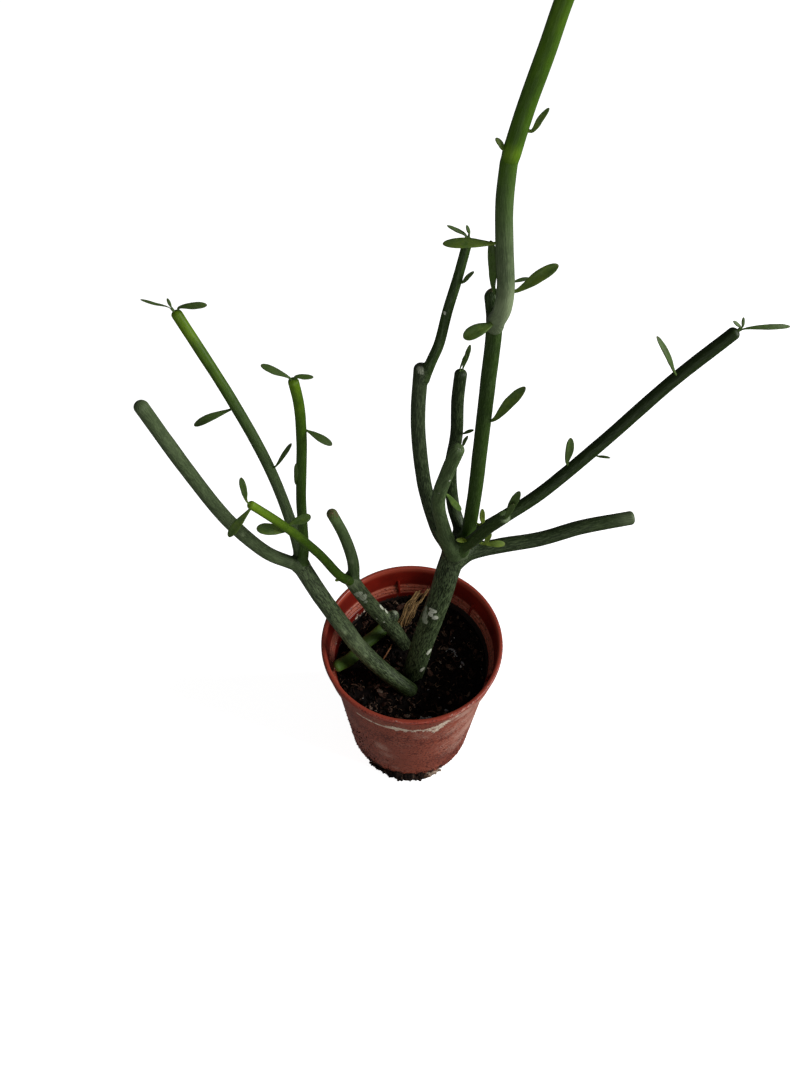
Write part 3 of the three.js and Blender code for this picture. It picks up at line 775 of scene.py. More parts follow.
@dataclass(frozen=True)
class PotPlastic:
    """Injection-moulded red-brown plastic: darker red inside, partly painted shade; outside scuffed, limed
    and dusty.

    The mesh gives inside (1 on the inner wall, where the darker red is partly painted shade), lip, step (1 at
    the ledge's edges, rubbed by wear and painted with a highlight), lime (hard-water scale), dust_and_sheen
    (pale dirt, and a painted sheen on the lit right), speck (where dark specks crowd), stain_and_shade (soil
    that clings, and painted shade where it rises on the shaded right) and streak (coordinates that run round
    the wall on a slant).
    """

    name: str = "pot_plastic"
    lip: Colour = (166, 68, 50)
    outside: tuple[Colour, Colour] = ((166, 82, 62), (184, 94, 70))
    # the inner wall's red, darkened beyond the plastic's own colour as painted shade
    inside: tuple[Colour, Colour] = ((106, 22, 13), (134, 31, 19))
    worn_edge_and_highlight: Colour = (168, 60, 44)
    speck: Colour = (98, 30, 19)
    # pale dirt, and on the lit right side a painted sheen
    dust_and_sheen: Colour = (216, 170, 152)
    scuff: Colour = (206, 140, 120)
    # clinging soil and stains, and painted shade where the band rises on the shaded right of the inner wall
    stain_and_shade: Colour = (34, 20, 14)
    lime: Ramp = ((0.35, (230, 192, 160)), (0.6, (255, 240, 218)))

    def material(self) -> bpy.types.Material:
        """Build the material: plastic, darker inside as painted shade, then edges rubbed by wear and painted
        with a highlight, dirt specks, pale dirt with painted sheen, scratches, clinging soil with painted
        shade and lime over it.

        Returns:
            The material.
        """
        mix = Recipe(self.name)
        broad = mix.noise(mix.place, 14.0, 4.0, 0.6)
        fine = mix.noise(mix.place, 0.9, 4.0, 0.65)
        scratch = mix.noise(mix.vector("streak"), (6.0, 0.55, 9.0), 3.0, 0.7, 0.4)
        inside = mix.value("inside")
        outside = 1.0 - inside
        tone = mix.ranged(broad, 0.3, 0.7)
        # inside, the red is darker, partly as painted shade
        base = mix.mixed(inside, mix.mixed(tone, *self.outside), mix.mixed(tone, *self.inside))
        base = mix.mixed(mix.value("lip"), base, self.lip)
        # the ledge's step edges: paler where rubbed, and a painted highlight where light catches them
        worn_and_lit_edges = mix.value("step") ** 5.0 * mix.ranged(scratch, 0.35, 0.6, 0.0, 0.3)
        base = mix.mixed(worn_and_lit_edges, base, self.worn_edge_and_highlight)
        crowd = mix.ranged(broad, 0.4, 0.62, 0.0, 0.5) + mix.value("speck")
        specks = mix.ranged(mix.noise(mix.place, 1.0, 2.0, 0.5) + crowd * 0.15, 0.59, 0.64)
        base = mix.mixed(specks * (outside * 0.85), base, self.speck)
        # pale dirt, which on the lit right side also stands for a painted sheen
        dust_and_sheen = mix.torn(mix.value("dust_and_sheen"), scratch * 0.6 + fine * 0.4, 5.5, 0.4, 1.15) * (outside * 0.8)
        base = mix.mixed(dust_and_sheen, base, self.dust_and_sheen)
        scuffs = mix.ranged(scratch, 0.6, 0.7) * mix.between(inside, 0.22, 0.03)
        base = mix.mixed(scuffs, base, self.scuff)
        # clinging soil and stains, with painted shade where the band rises on the shaded right of the inner
        # wall
        stain_and_shade = mix.torn(mix.value("stain_and_shade"), fine, 1.6, 0.46, 0.62)
        base = mix.mixed(stain_and_shade, base, self.stain_and_shade)
        lime = mix.torn(mix.value("lime"), fine, 2.2, 0.42, 0.62)
        base = mix.mixed(lime, base, mix.colours(fine, self.lime))
        rough = mix.between(inside, 0.44, 0.34) + mix.largest(lime, stain_and_shade, dust_and_sheen) * 0.4
        relief = fine * 0.2 + scratch * 0.15 + mix.largest(lime, stain_and_shade) * 0.8
        return mix.finish(base, rough, relief, 0.12, 0.5)


@dataclass(frozen=True)
class Earth:
    """Dry peat, and the bits in it: each lump's tone picks its colour from dark to light."""

    name: str
    by_tone: Ramp
    grain: float = 0.8
    depth: float = 0.3
    hollow_shade: Colour = (96, 90, 84)  # painted shade: what the colour is multiplied by in its pits

    def material(self) -> bpy.types.Material:
        """Build the material: the tone's colour, with painted shade in the pits of crumbs of two sizes.

        Returns:
            The material.
        """
        mix = Recipe(self.name)
        coarse = mix.noise(mix.place, self.grain * 2.6, 5.0, 0.65)
        fine = mix.noise(mix.place, self.grain * 0.5, 4.0, 0.7)
        base = mix.colours(mix.value("tone") + mix.ranged(coarse, 0.3, 0.7, -0.16, 0.16), self.by_tone)
        # painted shade: the colour is darkened in the pits of the fine relief
        skin = mix.mixed(mix.ranged(fine, 0.62, 0.36, 0.0, 0.8), base, mix.shaded(base, self.hollow_shade))
        return mix.finish(skin, 0.95, coarse * 0.5 + fine * 0.5, self.depth, 0.2)


@dataclass(frozen=True)
class Straw:
    """Dead stalk and twig: dry fibres along it, pale on top and brown between, each bit with its tone."""

    name: str
    pale: Colour = (218, 178, 120)
    brown: Colour = (64, 40, 20)

    def material(self) -> bpy.types.Material:
        """Build the material from the piece's own coordinates: streaks much longer than wide.

        Returns:
            The material.
        """
        mix = Recipe(self.name)
        streaks = mix.noise(mix.vector("grain"), (0.35, 0.35, 5.0), 3.0, 0.6, 0.1)
        share = mix.ranged(streaks, 0.36, 0.62, -0.35, 0.4) + mix.value("tone")
        return mix.finish(mix.mixed(share, self.brown, self.pale), 0.85, streaks, 0.3, 0.25)


@dataclass(frozen=True)
class FloorSheet:
    """The studio's plain pale floor, with the faintest unevenness."""

    name: str = "floor_sheet"
    dark: Colour = (246, 246, 246)
    light: Colour = (250, 250, 250)
    glow: float = 0.88

    def material(self) -> bpy.types.Material:
        """Build the material: near white, its tone varying by a hundredth or so, and lit from behind.

        Returns:
            The material.
        """
        mix = Recipe(self.name)
        cloud = mix.noise(mix.place, 120.0, 2.0)
        return mix.finish(mix.mixed(cloud, self.dark, self.light), 0.9, None, 0.0, 0.1, self.glow)


# ---- Pieces ----


def put_values(mesh: bpy.types.Mesh, name: str, values: np.ndarray) -> None:
    """Put named numbers or vectors into a mesh, one for each of its points.

    Args:
        mesh: the mesh.
        name: their name, by which materials read them.
        values: (n,) numbers or (n, 3) vectors.
    """
    kind, field_name = ("FLOAT_VECTOR", "vector") if values.ndim == 2 else ("FLOAT", "value")
    attribute = mesh.attributes.new(name, kind, "POINT")
    attribute.data.foreach_set(field_name, values.astype(np.float32).ravel())


def mesh_of(name: str, surface: Surface) -> bpy.types.Mesh:
    """Turn a surface into a mesh, in metres, with its values.

    Args:
        name: the mesh's name.
        surface: its shape in millimetres.

    Returns:
        The mesh.
    """
    mesh = bpy.data.meshes.new(name)
    faces = [face for part in surface.faces for face in part.tolist()]
    mesh.from_pydata((surface.points * MM).tolist(), [], faces, shade_flat=False)
    for key, values in surface.values.items():
        put_values(mesh, key, values)
    mesh.update()
    return mesh


def put_in_scene(name: str, data: bpy.types.ID) -> bpy.types.Object:
    """Show a mesh, a light or a camera in the scene, at the origin.

    Args:
        name: the object's name.
        data: what it shows.

    Returns:
        The object.
    """
    shown = bpy.data.objects.new(name, data)
    bpy.context.scene.collection.objects.link(shown)
    return shown


def make_piece(name: str, surface: Surface, material: bpy.types.Material, slot: str,
               *nodes: str) -> bpy.types.Object:
    """Turn a surface into a piece of the object, in metres, at the origin.

    Args:
        name: the piece's name.
        surface: its shape in millimetres.
        material: its finish.
        slot: not used.
        nodes: the solids that it stands for.

    Returns:
        The piece.
    """
    mesh = mesh_of(name, surface)
    mesh.materials.append(material)
    piece = put_in_scene(name, mesh)
    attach(piece, BODY)
    if nodes:
        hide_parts(*nodes)
    LOG.info("%s: %d points, %d faces, finish %s", name, len(mesh.vertices), len(mesh.polygons),
             material.name)
    return piece


class Mark(Enum):
    """What a mark on a stem's skin is."""

    SAP = "sap"  # dried white sap
    GREY = "grey"  # a dead grey patch
    BLOOM = "bloom"  # a pale waxy film, in places a painted sheen where light falls
    BROWN = "brown"  # dead, dry skin
    FRESH = "fresh"  # bright new growth


@dataclass(frozen=True)
class Blemish:
    """A mark on a stem: where, how far it reaches, its share of full strength, and how far it stands up."""

    mark: Mark
    place: Point
    reach: float
    strength: float = 1.0
    height: float = 0.0
    stretch: float = 1.0  # how much longer it is along the stem than across


@dataclass(frozen=True)
class Leaf:
    """A leaf from its joint on the stem to its tip, with its blade's width and how far its middle arches."""

    joint: Point
    tip: Point
    width: float
    arch: float
    youth: float = 0.3


@dataclass(frozen=True)
class Stub:
    """A short thick bit that stands on a stem."""

    start: Point
    end: Point
    radius: float
    cap: float = 0.6  # how deep its rounded ends are, as a share of the radius
    flatness: float = 0.7
    sides: int = 36


@dataclass(frozen=True)
class Stem:
    """A stem: its node, its centre line from root to tip, its radii there and how it looks."""

    node: str
    slot: str
    radii: tuple[float, float]
    path: tuple[Point, ...]
    youth: tuple[tuple[float, float], ...] = ((0.0, 0.3), (1.0, 0.45))  # share of the length, and youth there
    cap: float = 0.8  # how deep the rounded tip is, as a share of the radius
    flatness: float = 1.0  # below 1 the tip is flatter, as a cut or a dried end
    bloom: tuple[float, float] = (0.0, 0.0)  # pale waxy film at root and tip, in places a painted sheen
    deep: tuple[float, float] = (0.0, 0.0)  # how much darker its green is at root and tip: its own darker green, and painted shade
    depth: float = 1.0  # the section's depth as a share of its width
    leaves: tuple[Leaf, ...] = ()
    stubs: tuple[Stub, ...] = ()
    blemishes: tuple[Blemish, ...] = ()
    fine: bool = False  # a trunk has finer rings and a stronger net in its bark
    limb_step: float = 1.2  # the spacing of the centre line's points for welding

    def spine(self) -> Spine:
        """The centre line."""
        return Spine(self.path)

    def radius_at(self, spine: Spine, lengths: np.ndarray) -> np.ndarray:
        """The radius, which changes evenly from root to tip."""
        return self.radii[0] + (self.radii[1] - self.radii[0]) * lengths / spine.length

    def limb(self) -> Limb:
        """The stem as a limb: its centre line from the middle of one rounded end to that of the other.

        Returns:
            The limb.
        """
        spine = self.spine()
        count = max(8, int(spine.length / self.limb_step))
        lengths = np.linspace(self.radii[0], spine.length - self.cap * self.radii[1], count)
        return Limb(spine.at(lengths), self.radius_at(spine, lengths))


def blunt_lengths(length: float, radii: tuple[float, float], cap: float, step: float,
                  flatness: float) -> tuple[np.ndarray, np.ndarray]:
    """Lengths along a rounded rod, and the share of its radius at each.

    Within an end the share is the sine of the turn round it, and the length moves with one less the cosine.
    Flatness is a power on the sine that keeps the end fuller.

    Args:
        length: the rod's length.
        radii: its radii at root and tip.
        cap: the tip's depth as a share of its radius.
        step: the spacing of rings.
        flatness: the power.

    Returns:
        The lengths and the shares, both nought-width at the ends.
    """
    turns = np.linspace(0.0, np.pi / 2, END_RINGS)
    root, tip = radii[0], cap * radii[1]
    middle = np.linspace(root, length - tip, max(4, int((length - root - tip) / step)))[1:-1]
    lengths = np.concatenate([root * (1 - np.cos(turns)), middle, length - tip * (1 - np.cos(turns[::-1]))])
    shares = np.concatenate([np.sin(turns), np.ones(len(middle)), np.sin(turns[::-1]) ** flatness])
    return lengths, shares


@dataclass
class Plant:
    """All the stems, the places where they grow together, and the finishes that they share."""

    stems: tuple[Stem, ...]
    welds: tuple[Weld, ...]
    trunk_sides: int = 112
    trunk_step: float = 0.55  # between its rings
    stem_sides: int = 56
    stem_step: float = 0.62
    leaf_sides: int = 24
    small_leaf: float = 7.0  # shorter leaves have fewer rings and broader bases
    leaf_half_thickness: float = 0.42
    leaf_keel: float = 0.22
    stalk_half_width: float = 0.5

    def __post_init__(self) -> None:
        """Keep each stem as a limb, and make the finishes."""
        self.limbs = {stem.node: stem.limb() for stem in self.stems}
        self.bark = {slot: Bark(f"{slot}_bark").material() for slot in ("old_stem", "stem", "young_stem")}
        self.leaf_skin = LeafSkin().material()

    def skin(self, stem: Stem) -> Surface:
        """A stem's skin: a round rod with rounded ends, welded to its neighbours, then unevenly swollen.

        Args:
            stem: the stem.

        Returns:
            Its surface, with all the values that its bark needs.
        """
        spine = stem.spine()
        trunk, other = (self.trunk_step, self.trunk_sides), (self.stem_step, self.stem_sides)
        step, sides = trunk if stem.fine else other
        lengths, shares = blunt_lengths(spine.length, stem.radii, stem.cap, step, stem.flatness)
        radius = stem.radius_at(spine, lengths) * shares
        rod = swept(spine, lengths, radius, stem.depth * radius, sides)
        rods, own_limbs = [rod], [self.limbs[stem.node]]
        for stub in stem.stubs:
            line = Spine((stub.start, stub.end))
            ends = (stub.radius, stub.radius)
            along, shares = blunt_lengths(line.length, ends, stub.cap, step, stub.flatness)
            radius = stub.radius * shares
            rods.append(swept(line, along, radius, radius, stub.sides))
            inner = np.linspace(0.0, line.length - stub.cap * stub.radius, 6)
            own_limbs.append(Limb(line.at(inner), np.full(len(inner), stub.radius)))
        for number, surface in enumerate(rods):
            surface.values["joint"] = np.zeros(len(surface.points))
            for weld in self.welds:
                if stem.node not in weld.nodes:
                    continue
                others = [self.limbs[node] for node in weld.nodes if node != stem.node]
                others += own_limbs[:number] + own_limbs[number + 1:]
                if others:
                    surface.points, seam = weld.blend(surface.points, own_limbs[number], others)
                    surface.values["joint"] = np.maximum(surface.values["joint"], seam)
            self._relieve(stem, spine, surface, seed=len(stem.node) * 7 + number)
        return Surface.joined(rods)

    def _relieve(self, stem: Stem, spine: Spine, surface: Surface, seed: int) -> None:
        """Add the relief and the painted values to a rod in place.

        The relief is a slow swelling of a few hundredths of the radius, furrows much longer than wide,
        roughness at joints and the bumps of blemishes. A blemish thins out as the bell curve of the
        distance from it, which is measured along and across the stem.

        Args:
            stem: the stem.
            spine: its centre line.
            surface: the rod.
            seed: the seed of its unevenness.
        """
        points, grain = surface.points, surface.values["grain"]
        steady = 1.0 - surface.values["joint"]
        mean = sum(stem.radii) / 2
        relief = 0.018 * mean * uneven(grain, 9.0, seed, 2) * steady
        furrows = uneven(grain * np.array([1.0, 1.0, 0.12]), 1.1, seed + 3, 2)
        relief += (0.05 if stem.fine else 0.028) * furrows * steady
        relief += 0.06 * uneven(points, 3.0, 17, 2) * (1 - steady)
        share = np.clip(grain[:, 2] / spine.length, 0.0, 1.0)
        youth = np.interp(share, [stop for stop, _ in stem.youth], [value for _, value in stem.youth])
        youth += 0.05 * uneven(points, 8.0, 5, 2)
        painted = {mark: np.zeros(len(points)) for mark in Mark}
        for blemish in stem.blemishes:
            way = spine.along(np.array([spine.nearest(blemish.place)]))[0]
            offset = points - np.array(blemish.place)
            length = offset @ way
            across = np.linalg.norm(offset - length[:, None] * way, axis=1)
            reach = blemish.reach
            near = np.exp(-((across / reach) ** 2 + (length / (reach * blemish.stretch)) ** 2))
            painted[blemish.mark] = np.maximum(painted[blemish.mark], blemish.strength * near)
            relief += blemish.height * near
        surface.swell(relief)
        surface.values["youth"] = np.clip(youth + painted.pop(Mark.FRESH), 0.0, 1.0)
        # pale waxy film along the stem, in places a painted sheen
        painted[Mark.BLOOM] += np.interp(share, (0.0, 1.0), stem.bloom)
        # painted shade along the stem, together with its own darker green
        surface.values["deep"] = np.interp(share, (0.0, 1.0), stem.deep)
        surface.values["rugged"] = np.full(len(points), 1.0 if stem.fine else 0.5)
        for mark, strength in painted.items():
            surface.values[mark.value] = strength

    def blade(self, stem: Stem, leaf: Leaf, seed: int) -> Surface:
        """One leaf: a short stalk from inside the stem, then a keeled blade with a rounded tip.

        The half width eases from the stalk's to the blade's over the first half or so, and from there
        follows a quarter of an oval to the tip. The thickness thins towards the tip.

        Args:
            stem: the stem that it grows on.
            leaf: the leaf.
            seed: the seed of its unevenness.

        Returns:
            Its surface.
        """
        spine = stem.spine()
        root = spine.at(np.array([spine.nearest(leaf.joint, stem.radii[1])]))[0]
        joint, tip = np.array(leaf.joint), np.array(leaf.tip)
        middle = joint + 0.55 * (tip - joint) + leaf.arch * np.array(TOWARDS_LIGHT)
        midrib = Spine(np.array([root, joint, middle, tip]))
        stalk = float(np.linalg.norm(joint - root))
        blade = midrib.length - stalk
        small = np.linalg.norm(tip - joint) < self.small_leaf
        widest = 0.5 if small else 0.62
        turn = np.linspace(0.0, np.pi / 2, 10)
        share = np.concatenate([np.linspace(0.0, widest, 12 if small else 22)[:-1],
                                widest + (1 - widest) * np.sin(turn)])
        start = 0.5 if small else 0.3
        swell = start + (1 - start) * np.sin(np.clip(share / widest, 0, 1) * np.pi / 2) ** 1.3
        oval = np.sqrt(np.clip(1 - (np.clip(share - widest, 0, None) / (1 - widest)) ** 2.2, 0, 1))
        half_width = np.maximum(leaf.width / 2 * swell * oval, 0.02)
        half_depth = self.leaf_half_thickness * (1 - 0.35 * share**2) * np.maximum(oval, 0.05) ** 0.7
        stalk_shares = np.array([0.0, 0.05, 0.5])
        lengths = np.concatenate([stalk_shares * stalk, stalk + share * blade])
        stalk_width = max(self.stalk_half_width, half_width[0])
        half_width = np.concatenate([np.full(3, stalk_width), half_width])
        half_depth = np.concatenate([np.full(3, self.leaf_half_thickness), half_depth])
        surface = swept(midrib, lengths, half_width, half_depth, self.leaf_sides, TOWARDS_LIGHT,
                        self.leaf_keel, 0.85)
        surface.swell(0.05 * uneven(surface.points, 2.2, seed, 2))
        count = len(surface.points)
        along = np.clip((surface.values["grain"][:, 2] - stalk) / blade, 0, 1)
        surface.values["youth"] = np.full(count, leaf.youth) + 0.08 * (1 - along)
        surface.values["brown"] = 0.5 * eased((along - 0.93) / 0.07)
        return surface

    def make(self) -> None:
        """Make every stem and its leaves, each in place of its solid."""
        for number, stem in enumerate(self.stems):
            make_piece(f"{stem.node}_skin", self.skin(stem), self.bark[stem.slot], stem.slot, stem.node)
            if stem.leaves:
                blades = [self.blade(stem, leaf, 40 + 5 * number + place)
                          for place, leaf in enumerate(stem.leaves)]
                leaves = Surface.joined(blades)
                make_piece(f"{stem.node}_leaves", leaves, self.leaf_skin, stem.slot, stem.node)


# ---- The pot ----


def rounded_outline(outline: Sequence[Point], step: float) -> np.ndarray:
    """A broken line of radius and height with its corners rounded and its straights cut into steps.

    A corner is replaced by the curve whose ends lie its rounding away along both sides, with the corner as
    its pull: (1-t) squared a + 2 t (1-t) corner + t squared b.

    Args:
        outline: (radius, height, rounding) for each corner. The ends aren't rounded.
        step: the longest step on a straight.

    Returns:
        (n, 2) radii and heights.
    """
    corners = np.array([(radius, height) for radius, height, _ in outline], float)
    rounded = [corners[:1]]
    bend = np.linspace(0.0, 1.0, 5)[:, None]
    for number in range(1, len(corners) - 1):
        before, corner, after = corners[number - 1:number + 2]
        rounding = outline[number][2]
        into, out = (far + (corner - far) * max(0.5, 1 - rounding / max(np.linalg.norm(corner - far), 1e-6))
                     for far in (before, after))
        rounded.append((1 - bend) ** 2 * into + 2 * bend * (1 - bend) * corner + bend**2 * out)
    rounded.append(corners[-1:])
    points = np.concatenate(rounded)
    points = points[np.concatenate([[True], np.linalg.norm(np.diff(points, axis=0), axis=1) > 1e-3])]
    pieces = [points[:1]]
    for start, end in zip(points[:-1], points[1:]):
        count = max(1, math.ceil(float(np.linalg.norm(end - start)) / step))
        pieces.append(start + (end - start) * (np.arange(1, count + 1) / count)[:, None])
    return np.concatenate(pieces)


@dataclass
class NurseryPot:
    """The pot: a lip, a stepped collar, a tapering body, a foot ring, drainage holes and stacking ribs."""

    height: float = 93.0
    rim_radius: float = 45.0
    lip_width: float = 2.5
    lip_height: float = 1.6  # from the lip's top to its fullest
    collar_radius: float = 43.0  # at its foot
    collar_level: float = 80.0
    collar_flare: float = 0.16  # how much the radius grows for each millimetre up
    collar_edge: float = 79.8  # the body ends below this height and the collar begins
    shoulder_radius: float = 41.0
    shoulder_level: float = 79.6
    foot_radius: float = 34.0
    foot_round: float = 1.0
    ring_radius: float = 27.6  # the inside of the ring that the pot stands on
    disc_radius: float = 10.0  # of the disc at the middle that it stands on too
    recess: float = 1.6
    recess_slope: float = 1.1
    ledge_radius: float = 39.3
    ledge_height: float = 75.0
    ledge_steps: tuple[tuple[float, float], ...] = (  # out from the ledge's edge, and up from it
        (2.2, 4.4), (1.5, 4.1), (1.4, 2.5), (0.7, 2.2), (0.6, 0.5), (0, 0.2))
    worn_and_lit_levels: tuple[float, ...] = (79.25, 77.35, 75.35)  # the edges of the ledge's three steps, rubbed by wear and painted with a highlight
    floor_radius: float = 32.4
    floor_top: float = 3.0
    floor_round: float = 1.5
    segments: int = 288
    drain_count: int = 6
    drain_radius: float = 3.2
    drain_circle: float = 19.0
    rib_count: int = 6
    rib_first_angle: float = 40.0
    rib_half_width: float = 0.7
    rib_course: tuple[tuple[float, float], ...] = (  # radius and height
        (39.8, 75.5), (41.25, 79.5), (42.2, 83.6))
    soil_line: float = 67.5
    slant: float = 20.0  # of the scratches round the wall, in degrees
    # What has settled on the walls. Pale spots on the lit right, from 296 to 322 degrees, are also a painted
    # sheen.
    lime: tuple[Spot, ...] = tuple((angle, 80.8, 1.7, 0.9) for angle in range(234, 288, 3)) + (
        (256, 81.2, 2.7, 1.1), (259, 82, 3.2, 1.1), (262, 81.8, 3.2, 1.1), (265, 81.2, 2.8, 1.1),
        (243, 81.5, 1.6, 1), (248, 81.2, 1.6, 1), (274, 80.8, 1.8, 1), (280, 81, 1.8, 1),
        (285, 81.8, 2.8, 1.1), (288.5, 82.5, 3, 1.1), (290, 84.5, 2.5, 1), (292, 86.5, 2.2, 0.9),
        (289, 78, 2.6, 1.1), (290, 74, 2.6, 1), (287, 71, 2.2, 0.9), (294, 86, 1.5, 0.75),
        (299, 88.4, 1.5, 0.7), (260, 74.6, 1.6, 0.9), (266, 74.8, 1.6, 0.9), (252, 74.9, 1.3, 0.8),
        (272, 74.6, 1.5, 0.9), (278, 74.4, 1.5, 0.8), (283, 73.5, 1.8, 0.9))
    # pale dirt, with painted sheen in the spots from 296 to 322 degrees on the lit right
    frost_and_sheen: tuple[Spot, ...] = (
        (300, 40, 13, 0.55), (312, 30, 12, 0.8), (322, 45, 14, 1.1), (317, 62, 12, 0.95), (303, 62, 10, 0.75),
        (246, 42, 6, 1.05), (250, 31, 6, 0.75), (247, 17, 6, 0.55), (260, 12, 6, 0.5), (262, 55, 9, 0.35),
        (215, 50, 12, 0.5), (296, 87, 6, 1), (306, 85, 9, 1.2), (320, 84, 9, 1.2), (262, 88, 6, 0.4),
        (250, 86, 10, 0.3), (280, 68, 8, 0.6))
    specks: tuple[Spot, ...] = (
        (222, 60, 9, 0.8), (242, 20, 8, 0.6), (300, 22, 9, 0.9), (318, 30, 9, 0.9), (272, 60, 11, 0.4),
        (313, 15, 7, 1.2), (307, 10, 5, 1), (250, 60, 6, 0.8), (297, 58, 5, 0.8), (225, 30, 9, 0.6),
        (232, 12, 6, 0.8))
    stains: tuple[Spot, ...] = (
        (230, 5, 4.5, 0.8), (222, 9, 4, 0.7), (240, 5.5, 4, 0.85), (250, 4.5, 3.6, 0.8), (260, 5.5, 3.4, 0.8),
        (270, 4, 3.4, 0.75), (280, 5, 3.4, 0.75), (290, 4, 3.4, 0.75), (300, 5, 3.6, 0.7), (310, 4, 3, 0.6))
    inner_marks: tuple[Spot, ...] = (
        (139.2, 71.2, 1.3, 0.72), (134.6, 71, 1.2, 0.72), (130.8, 71.4, 1.2, 0.72), (137, 72.6, 0.9, 0.66),
        (169, 75.6, 1, 0.7), (166, 69.9, 1, 0.7), (180.6, 76.5, 0.9, 0.65))

    def wall_outside(self, height: Number) -> Number:
        """The outer radius of the body at heights under the collar: it widens evenly from the foot."""
        share = (height - self.foot_round) / (self.shoulder_level - self.foot_round)
        return self.foot_radius + (self.shoulder_radius - self.foot_radius) * share

    def wall_inside(self, height: Number) -> Number:
        """The inner radius of the body at heights under the ledge."""
        share = (height - self.floor_top) / (self.ledge_height - self.floor_top)
        return self.floor_radius + (self.ledge_radius - self.floor_radius) * share

    def outline(self) -> np.ndarray:
        """The pot's outline from the middle of its underside over the lip to the middle of its floor.

        Returns:
            (n, 2) radii and heights.
        """
        foot, rim, top, full = self.foot_radius, self.rim_radius, self.height, self.height - self.lip_height
        ledge = [(self.ledge_radius + out, self.ledge_height + up, 0.15) for out, up in self.ledge_steps]
        return rounded_outline((
            (0, 0, 0), (self.disc_radius, 0, 0.3), (self.disc_radius + self.recess_slope, self.recess, 0.3),
            (self.ring_radius - self.recess_slope, self.recess, 0.3), (self.ring_radius, 0, 0.3),
            (foot - self.foot_round, 0, 0.8), (foot, self.foot_round, 0.8),
            (self.shoulder_radius, self.shoulder_level, 0.5), (self.collar_radius, self.collar_level, 0.5),
            (rim - 0.4, full - 1.6, 0.5), (rim, full, 0.6), (rim - 0.25, top - 0.2, 0.5),
            (rim - 1.25, top, 0.5), (rim - 2.15, top - 0.25, 0.5), (rim - self.lip_width, full, 0.6), *ledge,
            (self.floor_radius, self.floor_top + self.floor_round, 1.2),
            (self.floor_radius - self.floor_round, self.floor_top, 1.2), (0, self.floor_top, 0)), 1.4)

    def shell(self) -> Surface:
        """The turned shell: the outline carried round the upright axis, closed at both poles.

        Returns:
            The surface.
        """
        outline = self.outline()
        angle = np.arange(self.segments) * 2 * np.pi / self.segments
        radius, height = outline[1:-1, 0], outline[1:-1, 1]
        rings = around(radius[:, None], angle, height[:, None])
        points = np.vstack([[0.0, 0.0, outline[0, 1]], rings.reshape(-1, 3), [0.0, 0.0, outline[-1, 1]]])
        return Surface(points, ring_faces(len(radius), self.segments))

    def drains(self) -> Surface:
        """The drainage holes to cut: upright round rods through the floor, evenly round a circle.

        Returns:
            The rods in one surface.
        """
        holes = []
        for number in range(self.drain_count):
            angle = (number + 0.5) * 2 * math.pi / self.drain_count
            x, y = self.drain_circle * math.cos(angle), self.drain_circle * math.sin(angle)
            line = Spine(((x, y, -3.0), (x, y, 3.0), (x, y, 9.0)))
            full = np.full(4, self.drain_radius)
            holes.append(swept(line, np.array([0.0, 0.01, 11.99, 12.0]), full, full, 40, FORWARDS))
        return Surface.joined(holes)

    def ribs(self) -> Surface:
        """The stacking ribs to add: thin upright blades on the ledge that start under the collar's skin.

        Returns:
            The blades in one surface.
        """
        ribs = []
        for number in range(self.rib_count):
            angle = math.radians(self.rib_first_angle + number * 360 / self.rib_count)
            way = np.array([math.cos(angle), math.sin(angle), 0.0])
            line = Spine(np.array([way * radius + [0, 0, height] for radius, height in self.rib_course]))
            lengths = np.concatenate([[0.0], np.linspace(0.02, line.length - 0.02, 12), [line.length]])
            depth = 0.8 + 0.6 * np.sin(np.pi * lengths / line.length)
            width = np.full(len(lengths), self.rib_half_width)
            ribs.append(swept(line, lengths, width, depth, 20, tuple(way), 0.0, 0.5))
        return Surface.joined(ribs)

    def make(self) -> None:
        """Make the pot in place of its solid: the shell, with holes cut, ribs added, and its wear and painted
        light put in.
        """
        shell = make_piece("pot_shell", self.shell(), PotPlastic().material(), "pot", "pot")
        for operation, surface in (("DIFFERENCE", self.drains()), ("UNION", self.ribs())):
            tool = put_in_scene("tool", mesh_of("tool", Surface(surface.points, surface.faces)))
            modifier = shell.modifiers.new("cut", "BOOLEAN")
            modifier.operation, modifier.object, modifier.solver = operation, tool, "MANIFOLD"
            bpy.context.view_layer.objects.active = shell
            bpy.ops.object.modifier_apply(modifier=modifier.name)
            mesh = tool.data
            bpy.data.objects.remove(tool)
            bpy.data.meshes.remove(mesh)
        self._paint(shell.data)

    def _settled(self, points: np.ndarray, spots: Sequence[Spot], within: bool = False) -> np.ndarray:
        """How thickly something has settled: the largest of the bell curves of the distance from its spots.

        Args:
            points: places on the pot, (n, 3).
            spots: where it has settled.
            within: whether that is on the inner wall.

        Returns:
            (n,) strengths.
        """
        strongest = np.zeros(len(points))
        for degrees, level, reach, strength in spots:
            collar = self.collar_radius + self.collar_flare * (level - self.collar_level)
            wall = self.wall_outside(level) if level < self.collar_edge else collar
            wall = self.wall_inside(level) if within else wall
            turn = math.radians(degrees)
            distance = np.linalg.norm(points - (wall * math.cos(turn), wall * math.sin(turn), level), axis=1)
            strongest = np.maximum(strongest, strength * np.exp(-((distance / reach) ** 2)))
        return strongest

